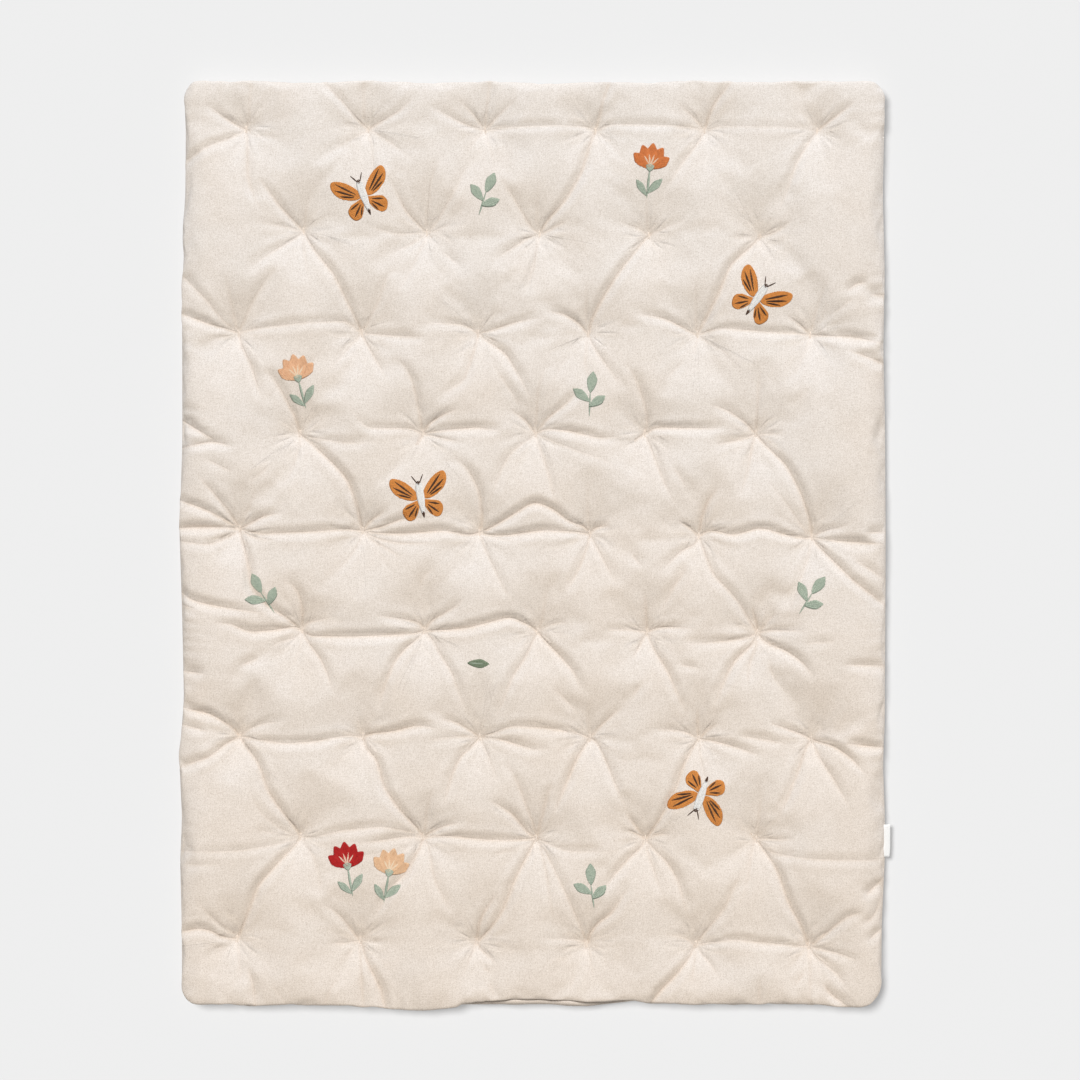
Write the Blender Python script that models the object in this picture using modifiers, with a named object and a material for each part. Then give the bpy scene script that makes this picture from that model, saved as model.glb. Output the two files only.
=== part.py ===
"""Baby play mat: two cotton panels sewn together round their edge over soft wadding, drawn down by nine
staggered rows of thread tacks, with a small folded label in one side seam.

Metres, +Z up. The mat lies flat on z = 0 with its length along Y, and the origin is the bottom centre of
the whole object.
"""

from math import cos, pi, sin

import bmesh
import bpy
import numpy as np

# Driving dimensions of the mat, in metres.
WIDTH = 0.760          # seam to seam along X
LENGTH = 0.998         # seam to seam along Y
CORNER_RADIUS = 0.018
CROWN_HEIGHT = 0.027   # top of a puff above the floor
TACK_HEIGHT = 0.009    # top panel where a tack holds it down
SEAM_HEIGHT = 0.010    # edge seam above the floor
TOP_ROLL = 0.024       # strip inside the seam over which the top panel turns down to it
BACK_ROLL = 0.012      # strip inside the seam over which the back panel turns up to it
CELL = 0.0165          # spacing of the panels' facets
ROLL_LINES = (0.0, 0.0022, 0.0070, 0.0130)  # facet lines within the rolled edge, in from the seam

# Tacks: places across a row of six and across the row of five between two of them.
SIX_ACROSS = (-0.317, -0.184, -0.058, 0.061, 0.179, 0.301)
FIVE_ACROSS = (-0.251, -0.118, 0.004, 0.122, 0.242)
TACK_ROWS = (
    # y of the row, shift along X, drop from the row's left end to its right end, places across
    (0.4458, 0.0057, 0.001, SIX_ACROSS),
    (0.3341, 0.0025, 0.006, FIVE_ACROSS),
    (0.2261, -0.0019, 0.002, SIX_ACROSS),
    (0.1182, -0.0018, 0.000, FIVE_ACROSS),
    (0.0108, -0.0003, 0.009, SIX_ACROSS),
    (-0.0954, 0.0003, 0.003, FIVE_ACROSS),
    (-0.2104, -0.0002, 0.004, SIX_ACROSS),
    (-0.3189, -0.0011, 0.003, FIVE_ACROSS),
    (-0.4317, -0.0033, 0.008, SIX_ACROSS),
)
NEIGHBOUR_REACH = 0.150  # tacks closer than this have a trough between them
SIDE_REACH = 0.140       # a tack closer than this to a side has a trough straight out to it
DIMPLE_REACH = 0.027     # how fast a tack's dimple fades
TROUGH_REACH = 0.014     # half-width of a trough
TROUGH_DEPTH = 0.46      # share of the crown that a trough takes at its ends
TROUGH_MIDDLE = 0.55     # share of that depth left halfway between two tacks

# How far each side bulges out (+) or is drawn in (-), at places along it.
LEFT_SIDE = (
    # y, out
    (-0.479, 0.0005),
    (-0.414, 0.0008),
    (-0.344, 0.0025),
    (-0.297, 0.0005),
    (-0.232, 0.0036),
    (-0.170, -0.0016),
    (-0.073, 0.0005),
    (0.015, 0.0034),
    (0.106, 0.0002),
    (0.280, 0.0005),
    (0.309, -0.0016),
    (0.334, 0.0005),
    (0.372, -0.0030),
    (0.445, -0.0036),
    (0.480, -0.0020),
)
RIGHT_SIDE = (
    (-0.475, -0.0035),
    (-0.414, -0.0030),
    (-0.344, 0.0003),
    (-0.290, 0.0003),
    (-0.240, -0.0016),
    (-0.190, 0.0004),
    (0.000, 0.0013),
    (0.130, 0.0006),
    (0.210, -0.0012),
    (0.290, 0.0003),
    (0.380, -0.0018),
    (0.470, 0.0003),
)
TOP_SIDE = (
    # x, out
    (-0.359, 0.0040),
    (-0.317, 0.0026),
    (-0.250, -0.0014),
    (-0.172, 0.0032),
    (-0.118, -0.0016),
    (-0.047, 0.0012),
    (0.018, -0.0036),
    (0.083, 0.0000),
    (0.122, -0.0036),
    (0.174, 0.0026),
    (0.252, -0.0010),
    (0.356, 0.0022),
)
BOTTOM_SIDE = (
    (-0.361, -0.0010),
    (-0.200, 0.0004),
    (-0.119, 0.0054),
    (-0.075, 0.0008),
    (0.007, -0.0005),
    (0.058, 0.0024),
    (0.115, -0.0038),
    (0.170, -0.0004),
    (0.289, -0.0009),
    (0.343, 0.0013),
)
SIDE_SHARPNESS = 9     # power by which a side's unevenness fades towards the middle of the mat

# Closing seam: along this stretch of the bottom side the edge rolls up towards the top face.
CLOSING_FROM = -0.074
CLOSING_TO = 0.110
CLOSING_LIFT = 0.005

# Folded label in the right-hand seam.
LABEL_Y = -0.322
LABEL_LENGTH = 0.035   # along the seam
LABEL_REACH = 0.0068   # out from the seam to the fold
LABEL_THICKNESS = 0.0010
LABEL_SPACE = 0.0005   # between the label's two layers
FOLD_STEPS = 8
GAP = 0.0003           # between the mat and the label

# Mesh distances.
WELD = 0.00001
WHOLE_MICRONS = 6      # decimal places
GRID_SIZE = 2.0        # the starting grids run from -1 to 1


def clear_scene():
    for obj in list(bpy.data.objects):
        bpy.data.objects.remove(obj, do_unlink=True)


def make_collection(name):
    collection = bpy.data.collections.new(name)
    bpy.context.scene.collection.children.link(collection)
    return collection


def make_material(name, color, roughness):
    material = bpy.data.materials.new(name)
    material.use_nodes = True
    shader = material.node_tree.nodes["Principled BSDF"]
    shader.inputs["Base Color"].default_value = (*color, 1.0)
    shader.inputs["Roughness"].default_value = roughness
    shader.inputs["Metallic"].default_value = 0.0
    return material


def grid_object(name, cells_x, cells_y):
    bpy.ops.mesh.primitive_grid_add(x_subdivisions=cells_x, y_subdivisions=cells_y, size=GRID_SIZE)
    obj = bpy.context.object
    obj.name = name
    obj.data.name = name
    return obj


def tack_places():
    """Every tack's (x, y), row by row from the far end."""
    places = []
    for row_y, shift, drop, across in TACK_ROWS:
        for x in across:
            along = (x - across[0]) / (across[-1] - across[0])
            places.append((x + shift, row_y - drop * (along - 0.5)))
    return np.array(places)


def trough_lines(tacks):
    """Troughs between neighbouring tacks and from the outer tacks to the sides, as (starts, ends)."""
    pairs = [
        (a, b)
        for i, a in enumerate(tacks)
        for b in tacks[i + 1:]
        if np.hypot(*(a - b)) < NEIGHBOUR_REACH
    ]
    for x, y in tacks:
        if WIDTH / 2 - abs(x) < SIDE_REACH:
            pairs.append(((x, y), (np.sign(x) * WIDTH / 2, y)))
        if LENGTH / 2 - abs(y) < SIDE_REACH:
            pairs.append(((x, y), (x, np.sign(y) * LENGTH / 2)))
    lines = np.array(pairs)
    return lines[:, 0], lines[:, 1]


def facet_lines(size):
    """Facet lines across one direction of a panel: close together in the rolled edge, even inside it."""
    half = size / 2
    inner = half - TOP_ROLL
    cells = round(2 * inner / CELL)
    edge = [half - line for line in ROLL_LINES]
    return np.array([-at for at in edge] + list(np.linspace(-inner, inner, cells + 1)) + edge[::-1])


def round_corner(x, y):
    """Moves a place near a square corner so that the corner becomes an arc of CORNER_RADIUS."""
    beyond_x = (abs(x) - (WIDTH / 2 - CORNER_RADIUS)) / CORNER_RADIUS
    beyond_y = (abs(y) - (LENGTH / 2 - CORNER_RADIUS)) / CORNER_RADIUS
    if beyond_x <= 0 or beyond_y <= 0:
        return x, y
    across = beyond_x * (1 - beyond_y**2 / 2) ** 0.5
    along = beyond_y * (1 - beyond_x**2 / 2) ** 0.5
    return (
        np.sign(x) * (WIDTH / 2 - CORNER_RADIUS + CORNER_RADIUS * across),
        np.sign(y) * (LENGTH / 2 - CORNER_RADIUS + CORNER_RADIUS * along),
    )


def depth_inside(x, y):
    """Distance in from the even outline, a rectangle with rounded corners, and exactly 0 on it."""
    beyond_x = abs(x) - (WIDTH / 2 - CORNER_RADIUS)
    beyond_y = abs(y) - (LENGTH / 2 - CORNER_RADIUS)
    outside = np.hypot(max(beyond_x, 0.0), max(beyond_y, 0.0))
    return round(CORNER_RADIUS - outside - min(max(beyond_x, beyond_y), 0.0), WHOLE_MICRONS)


def bulge(side, place):
    places, outs = np.array(side).T
    return np.interp(place, places, outs)


def uneven(x, y):
    """Moves a place with the bulges and drawn-in stretches of the sides nearest to it."""
    across = x / (WIDTH / 2)
    along = y / (LENGTH / 2)
    side_x = RIGHT_SIDE if x > 0 else LEFT_SIDE
    side_y = TOP_SIDE if y > 0 else BOTTOM_SIDE
    return (
        x + np.sign(x) * bulge(side_x, y) * abs(across) ** SIDE_SHARPNESS,
        y + np.sign(y) * bulge(side_y, x) * abs(along) ** SIDE_SHARPNESS,
    )


def roll(depth, strip):
    """Quarter-round rise over a strip: 0 at the seam, 1 past the strip."""
    left = 1 - min(max(depth, 0.0) / strip, 1.0)
    return (1 - left**2) ** 0.5


def seam_height(x, y):
    """Height of the edge seam, which the closing seam lifts along part of the bottom side."""
    if y > 0 or not CLOSING_FROM < x < CLOSING_TO:
        return SEAM_HEIGHT
    along = (x - CLOSING_FROM) / (CLOSING_TO - CLOSING_FROM)
    near = abs(y / (LENGTH / 2)) ** SIDE_SHARPNESS
    return SEAM_HEIGHT + CLOSING_LIFT * near * sin(pi * along) ** 0.5


def top_height(x, y, tacks, starts, ends):
    """Height of the filled top panel away from its rolled edge."""
    here = np.array((x, y))
    away = np.hypot(*(tacks - here).T)
    dimples = np.exp(-away / DIMPLE_REACH)

    run = ends - starts
    share = np.clip(((here - starts) * run).sum(axis=1) / (run**2).sum(axis=1), 0, 1)
    beside = np.hypot(*(starts + share[:, None] * run - here).T)
    fullness = TROUGH_MIDDLE + (1 - TROUGH_MIDDLE) * (2 * share - 1) ** 2
    troughs = TROUGH_DEPTH * fullness * np.exp(-((beside / TROUGH_REACH) ** 2))

    left = np.prod(1 - dimples) * np.prod(1 - troughs)
    return TACK_HEIGHT + (CROWN_HEIGHT - TACK_HEIGHT) * left


def build_mat(material):
    lines_x = facet_lines(WIDTH)
    lines_y = facet_lines(LENGTH)
    cells_x = len(lines_x) - 1
    cells_y = len(lines_y) - 1
    tacks = tack_places()
    starts, ends = trough_lines(tacks)

    obj = grid_object("mat", cells_x, cells_y)
    shape = bmesh.new()
    shape.from_mesh(obj.data)
    for vert in shape.verts:
        column = round((vert.co.x + 1) / GRID_SIZE * cells_x)
        row = round((vert.co.y + 1) / GRID_SIZE * cells_y)
        vert.co.x, vert.co.y = round_corner(lines_x[column], lines_y[row])

    # The nearest corner of a facet slides onto each tack, so that every dimple reaches its full depth.
    places = np.array([vert.co[:2] for vert in shape.verts])
    shape.verts.ensure_lookup_table()
    for tack in tacks:
        nearest = int(np.argmin(np.hypot(*(places - tack).T)))
        shape.verts[nearest].co.x, shape.verts[nearest].co.y = tack

    # The back panel is the same cut: it lies flat on the floor and turns up to meet the top at the seam.
    copied = bmesh.ops.duplicate(shape, geom=shape.faces[:] + shape.edges[:] + shape.verts[:])["geom"]
    back_faces = [item for item in copied if isinstance(item, bmesh.types.BMFace)]
    back_verts = {item for item in copied if isinstance(item, bmesh.types.BMVert)}
    bmesh.ops.reverse_faces(shape, faces=back_faces)

    for vert in shape.verts:
        x, y = vert.co[:2]
        depth = depth_inside(x, y)
        seam = seam_height(x, y)
        if vert in back_verts:
            height = seam * (1 - roll(depth, BACK_ROLL))
        else:
            height = seam + (top_height(x, y, tacks, starts, ends) - seam) * roll(depth, TOP_ROLL)
        vert.co = (*uneven(x, y), height)

    bmesh.ops.remove_doubles(shape, verts=shape.verts[:], dist=WELD)
    shape.to_mesh(obj.data)
    shape.free()
    obj.data.shade_smooth()
    obj.data.materials.append(material)
    return obj


def fold_path():
    """(x, z) places of the label's middle line: in from the seam, round the fold and back to the seam."""
    radius = (LABEL_SPACE + LABEL_THICKNESS) / 2
    straight = LABEL_REACH - LABEL_THICKNESS / 2 - radius
    turn = [-pi / 2 + pi * step / FOLD_STEPS for step in range(FOLD_STEPS + 1)]
    bend = [(straight + radius * cos(angle), radius * sin(angle)) for angle in turn]
    return [(0.0, -radius), *bend, (0.0, radius)]


def build_label(material):
    seam_x, _ = uneven(WIDTH / 2, LABEL_Y)
    path = fold_path()
    obj = grid_object("side_label", len(path) - 1, 1)
    for vert in obj.data.vertices:
        step = round((vert.co.x + 1) / GRID_SIZE * (len(path) - 1))
        out, up = path[step]
        side = vert.co.y * LABEL_LENGTH / 2
        vert.co = (seam_x + GAP + out, LABEL_Y + side, SEAM_HEIGHT + up)
    solid = obj.modifiers.new("cloth thickness", "SOLIDIFY")
    solid.thickness = LABEL_THICKNESS
    solid.offset = 0
    obj.data.shade_smooth()
    obj.data.materials.append(material)
    return obj


def stand_on_origin(parts):
    """Moves the meshes so that the origin is the bottom centre of the whole object."""
    corners = np.array([vert.co[:] for part in parts for vert in part.data.vertices])
    low = corners.min(axis=0)
    high = corners.max(axis=0)
    high[0] += LABEL_THICKNESS / 2
    for part in parts:
        for vert in part.data.vertices:
            vert.co.x -= (low[0] + high[0]) / 2
            vert.co.y -= (low[1] + high[1]) / 2
            vert.co.z -= low[2]


def main():
    clear_scene()
    natural_cotton = make_material("natural_cotton", (0.79, 0.71, 0.62), 0.92)
    white_tape = make_material("white_tape", (0.87, 0.84, 0.79), 0.90)
    parts = [build_mat(natural_cotton), build_label(white_tape)]
    stand_on_origin(parts)
    play_mat = make_collection("play_mat")
    for part in parts:
        for collection in part.users_collection:
            collection.objects.unlink(part)
        play_mat.objects.link(part)


main()
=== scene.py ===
# %% [markdown]
# # A tufted and embroidered baby play mat
#
# The real mat is two cotton panels sewn face to face round their edge, turned out, filled with soft
# wadding and closed by hand. Fifty thread tacks then pull the two panels together in nine staggered
# rows, so the top gathers into a star of soft folds round each tack, with a puff between the folds.
# Small motifs are embroidered on the top panel, and a folded cotton label sits in one side seam.
#
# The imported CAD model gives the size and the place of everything, so it is loaded first.

# %% Load the frame
import random
from math import atan2, cos, hypot, pi, radians, sin, sqrt

import bmesh
import bpy
import numpy as np
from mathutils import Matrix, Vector, noise
from mathutils.bvhtree import BVHTree


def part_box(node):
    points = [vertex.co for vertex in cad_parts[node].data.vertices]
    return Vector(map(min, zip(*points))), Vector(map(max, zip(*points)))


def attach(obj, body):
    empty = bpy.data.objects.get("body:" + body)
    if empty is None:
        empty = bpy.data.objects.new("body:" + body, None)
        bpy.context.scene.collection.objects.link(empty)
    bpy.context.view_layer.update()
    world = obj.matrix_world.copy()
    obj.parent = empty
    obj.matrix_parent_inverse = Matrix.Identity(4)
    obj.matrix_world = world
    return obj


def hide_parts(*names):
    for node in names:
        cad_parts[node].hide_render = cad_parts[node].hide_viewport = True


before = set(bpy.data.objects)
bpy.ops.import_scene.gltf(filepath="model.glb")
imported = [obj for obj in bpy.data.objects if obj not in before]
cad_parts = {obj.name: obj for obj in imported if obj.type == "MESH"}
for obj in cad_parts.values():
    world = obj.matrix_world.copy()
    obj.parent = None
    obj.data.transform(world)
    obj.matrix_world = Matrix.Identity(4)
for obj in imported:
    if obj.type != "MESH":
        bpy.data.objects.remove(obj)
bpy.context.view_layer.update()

MM = 0.001

# %% [markdown]
# ## Camera
#
# The mat is seen from straight above, through a long lens a few metres up, so that its sides stay
# parallel and both the near and the far end are drawn at one scale.

# %% Camera
CAMERA_HEIGHT = 3.254
LENS = 100
FRAME_SHIFT = (0.0050, 0.0039)  # the mat lies a little off the middle of the view

camera_data = bpy.data.cameras.new("camera")
camera_data.lens = LENS
camera_data.clip_end = 20
camera = bpy.data.objects.new("camera", camera_data)
camera.location = (*FRAME_SHIFT, CAMERA_HEIGHT)
bpy.context.scene.collection.objects.link(camera)
bpy.context.scene.camera = camera

# %% [markdown]
# ## Floor and light
#
# Relief this shallow shows only by how the light falls across it. One broad lamp beyond the far end
# leans over the mat, so a slope that faces it is light and a slope that faces away is darker. A
# second lamp to the far left throws the narrow shadow on the floor, along the right and near sides.
# Light linking keeps the two apart: the far lamp lights everything but the floor, the floor lamp
# nothing else. An even white sky fills in, and the floor glows a little, like paper lit from below,
# which keeps its shadows light. Sun lamps are equally strong all over, so the floor is one even tone.

# %% Floor and light
FLOOR_TONE = (0.30, 0.30, 0.30)
FLOOR_GLOW = 0.34
SKY_STRENGTH = 0.20
LAMPS = (
    # name, strength, spread (degrees), from where it shines, does it light the floor
    ("far lamp", 2.98, 26, (0.12, 1.0, 1.72), False),
    ("floor lamp", 5.45, 26, (-1.3, 1.0, 3.1), True),
)


def plain_material(name, color, roughness):
    """A Principled material and its shader node, with its colour and roughness."""
    material = bpy.data.materials.new(name)
    material.use_nodes = True
    shader = material.node_tree.nodes["Principled BSDF"]
    shader.inputs["Base Color"].default_value = (*color, 1)
    shader.inputs["Roughness"].default_value = roughness
    return material, shader


floor_material, floor_shader = plain_material("floor_paper", FLOOR_TONE, 1.0)
floor_shader.inputs["Specular IOR Level"].default_value = 0
floor_shader.inputs["Emission Color"].default_value = (1, 1, 1, 1)
floor_shader.inputs["Emission Strength"].default_value = FLOOR_GLOW
bpy.ops.mesh.primitive_plane_add(size=12, location=(0, 0, 0))
floor = bpy.context.object
floor.name = "floor"
floor.data.materials.append(floor_material)

world = bpy.data.worlds.new("white sky")
world.use_nodes = True
world.node_tree.nodes["Background"].inputs["Color"].default_value = (1, 1, 1, 1)
world.node_tree.nodes["Background"].inputs["Strength"].default_value = SKY_STRENGTH
bpy.context.scene.world = world

for lamp_name, strength, spread, shines_from, on_floor in LAMPS:
    lamp_data = bpy.data.lights.new(lamp_name, "SUN")
    lamp_data.energy = strength
    lamp_data.angle = radians(spread)
    lamp = bpy.data.objects.new(lamp_name, lamp_data)
    lamp.rotation_euler = Vector(shines_from).to_track_quat("Z", "Y").to_euler()
    bpy.context.scene.collection.objects.link(lamp)
    linked = bpy.data.collections.new(lamp_name + " link")
    linked.objects.link(floor)
    linked.collection_objects[0].light_linking.link_state = "INCLUDE" if on_floor else "EXCLUDE"
    lamp.light_linking.receiver_collection = linked
bpy.context.scene.view_settings.view_transform = "Standard"

# %% [markdown]
# ## Where the tacks are
#
# The CAD solid already dips to one exact height at each tack, so the tacks are read from its mesh:
# they are the points of its top side at that height.

# %% Tacks
TACK_HEIGHT = 9 * MM
HEIGHT_ERROR = 0.05 * MM
WITHIN_RIM = (340 * MM, 470 * MM)   # the tacks lie within this far from the middle, the rim beyond

cad_points = np.array([vert.co[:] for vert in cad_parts["mat"].data.vertices])
within = (abs(cad_points[:, :2]) < WITHIN_RIM).all(axis=1)
at_tack = within & (abs(cad_points[:, 2] - TACK_HEIGHT) < HEIGHT_ERROR)
tacks = np.unique(np.round(cad_points[at_tack], 4), axis=0)[:, :2]
print(len(tacks), "tacks")

# %% [markdown]
# ## The folds
#
# No two tacks of the real mat have the same star of folds: some folds run right across to the next tack,
# others fade into the puff, and a few lie side by side. So the main folds are listed one by one, a row
# for each: how deep it is, 1 being an ordinary fold, then the places that it passes, in millimetres from
# the middle of the plan. A fold that starts or ends beside a tack runs into it. The tables go from the
# far end to the near end.

# %% Folds at the far end
FAR_FOLDS = (
    # depth, then x and y of each place along the fold
    # first row of tacks
    (1.0, -318, 450, -335, 460, -352, 474),
    (0.4, -308, 455, -305, 490),
    (0.6, -320, 440, -350, 428, -378, 411),
    (0.8, -309, 435, -308, 395, -300, 370, -288, 352),
    (0.3, -305, 440, -270, 437),
    (0.8, -188, 455, -205, 475, -222, 493),
    (0.4, -183, 455, -183, 490),
    (0.9, -170, 452, -145, 465, -130, 480),
    (0.3, -190, 440, -235, 412),
    (0.5, -175, 435, -172, 400, -165, 360),
    (0.4, -165, 440, -125, 410),
    (0.7, -52, 455, -48, 490),
    (0.7, -60, 458, -82, 480),
    (0.8, -75, 452, -110, 470),
    (0.7, -42, 458, -20, 478),
    (0.4, -60, 440, -75, 415),
    (0.3, -48, 430, -40, 400),
    (0.6, -35, 448, 20, 450, 60, 450),
    (1.0, 70, 455, 75, 478, 82, 497),
    (0.3, 80, 435, 100, 410),
    (0.6, 85, 452, 150, 450, 180, 448),
    (0.7, 178, 455, 155, 475),
    (1.0, 187, 455, 195, 475, 207, 490),
    (0.8, 180, 435, 160, 410, 145, 385),
    (0.4, 200, 450, 290, 448),
    (1.0, 312, 450, 330, 463, 348, 478),
    (0.8, 300, 437, 283, 410, 275, 385, 262, 355),
    # second row
    (1.0, -253, 342, -275, 365, -296, 395),
    (0.4, -247, 345, -243, 375),
    (0.4, -260, 340, -305, 348),
    (0.6, -255, 330, -280, 315, -305, 298),
    (0.4, -248, 325, -245, 300, -238, 275),
    (1.0, -238, 318, -215, 290, -198, 255, -187, 232),
    (0.3, -240, 330, -215, 320),
    (0.9, -120, 340, -138, 358, -155, 395),
    (0.4, -116, 345, -112, 385, -105, 410, -85, 425),
    (0.5, -105, 345, -85, 380, -70, 415),
    (0.4, -105, 338, -85, 347),
    (0.5, -125, 335, -150, 333, -185, 345),
    (0.5, -122, 328, -155, 312),
    (0.4, -118, 325, -135, 290, -150, 262),
    (0.7, -100, 317, -78, 297),
    (0.7, -2, 340, -20, 370, -35, 395),
    (0.3, 3, 345, 5, 395),
    (1.2, 12, 345, 35, 370, 52, 400, 64, 440),
    (0.8, 15, 337, 40, 350),
    (0.6, -5, 330, -40, 307),
    (0.6, 4, 325, 0, 295, -10, 270),
    (0.3, 128, 325, 145, 297),
    (0.5, 115, 340, 90, 347),
    (0.5, 135, 337, 165, 350),
    (0.4, 122, 350, 122, 395),
    (0.8, 262, 335, 280, 350),
    (0.4, 240, 330, 205, 330),
    (1.2, 238, 323, 212, 300, 200, 270, 185, 240),
    # third row
    (0.5, -322, 240, -332, 290),
    (0.5, -310, 245, -298, 270, -277, 298),
    (1.0, -325, 230, -350, 236, -378, 247),
    (0.6, -335, 240, -352, 262, -375, 285),
    (0.6, -305, 231, -250, 237, -200, 240),
    (0.5, -178, 240, -165, 265, -155, 300),
    (0.7, -175, 226, -145, 223, -115, 222),
    (0.7, -120, 238, -75, 236, -60, 228),
    (0.5, -195, 215, -222, 185),
    (0.9, -178, 212, -165, 190, -158, 175),
    (0.5, -235, 207, -245, 180),
    (0.9, -45, 230, -20, 238, 10, 245),
    (0.7, -50, 222, -35, 215),
    (0.8, -62, 215, -70, 190, -75, 175, -100, 160),
    (0.9, -50, 218, -30, 205, -15, 180, 0, 150),
    (0.6, -45, 195, -25, 165, -10, 140),
    (1.1, 52, 235, 35, 247, 12, 251),
    (1.2, 62, 240, 75, 265, 92, 292, 120, 328),
    (0.4, 57, 245, 57, 290),
    (0.5, 58, 215, 55, 195, 62, 170),
    (0.7, 65, 212, 80, 190, 95, 170),
    (0.7, 95, 200, 110, 180, 120, 150, 124, 130),
    (0.4, 45, 205, 30, 195, 20, 170),
    (1.1, 170, 228, 155, 236, 140, 243, 110, 247),
    (0.4, 175, 240, 175, 290),
    (0.8, 200, 232, 250, 228, 290, 226),
    (0.4, 176, 215, 173, 200),
    (0.5, 190, 215, 208, 205, 220, 185),
    (0.5, 165, 200, 140, 175),
    (0.9, 293, 232, 272, 247),
    (0.5, 303, 245, 310, 270, 318, 290),
    (1.0, 312, 224, 345, 222, 365, 218),
    (0.6, 320, 245, 345, 265),
    (1.0, 335, 270, 350, 282, 360, 280),
    (0.8, 360, 268, 378, 268),
    (0.3, 295, 210, 285, 190, 275, 170),
    (0.9, 335, 210, 375, 195),
    (1.0, -316, 215, -303, 190, -295, 160, -285, 150),
)

# %% [markdown]
# Across the middle more of the folds are long and run from tack to tack.

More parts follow.
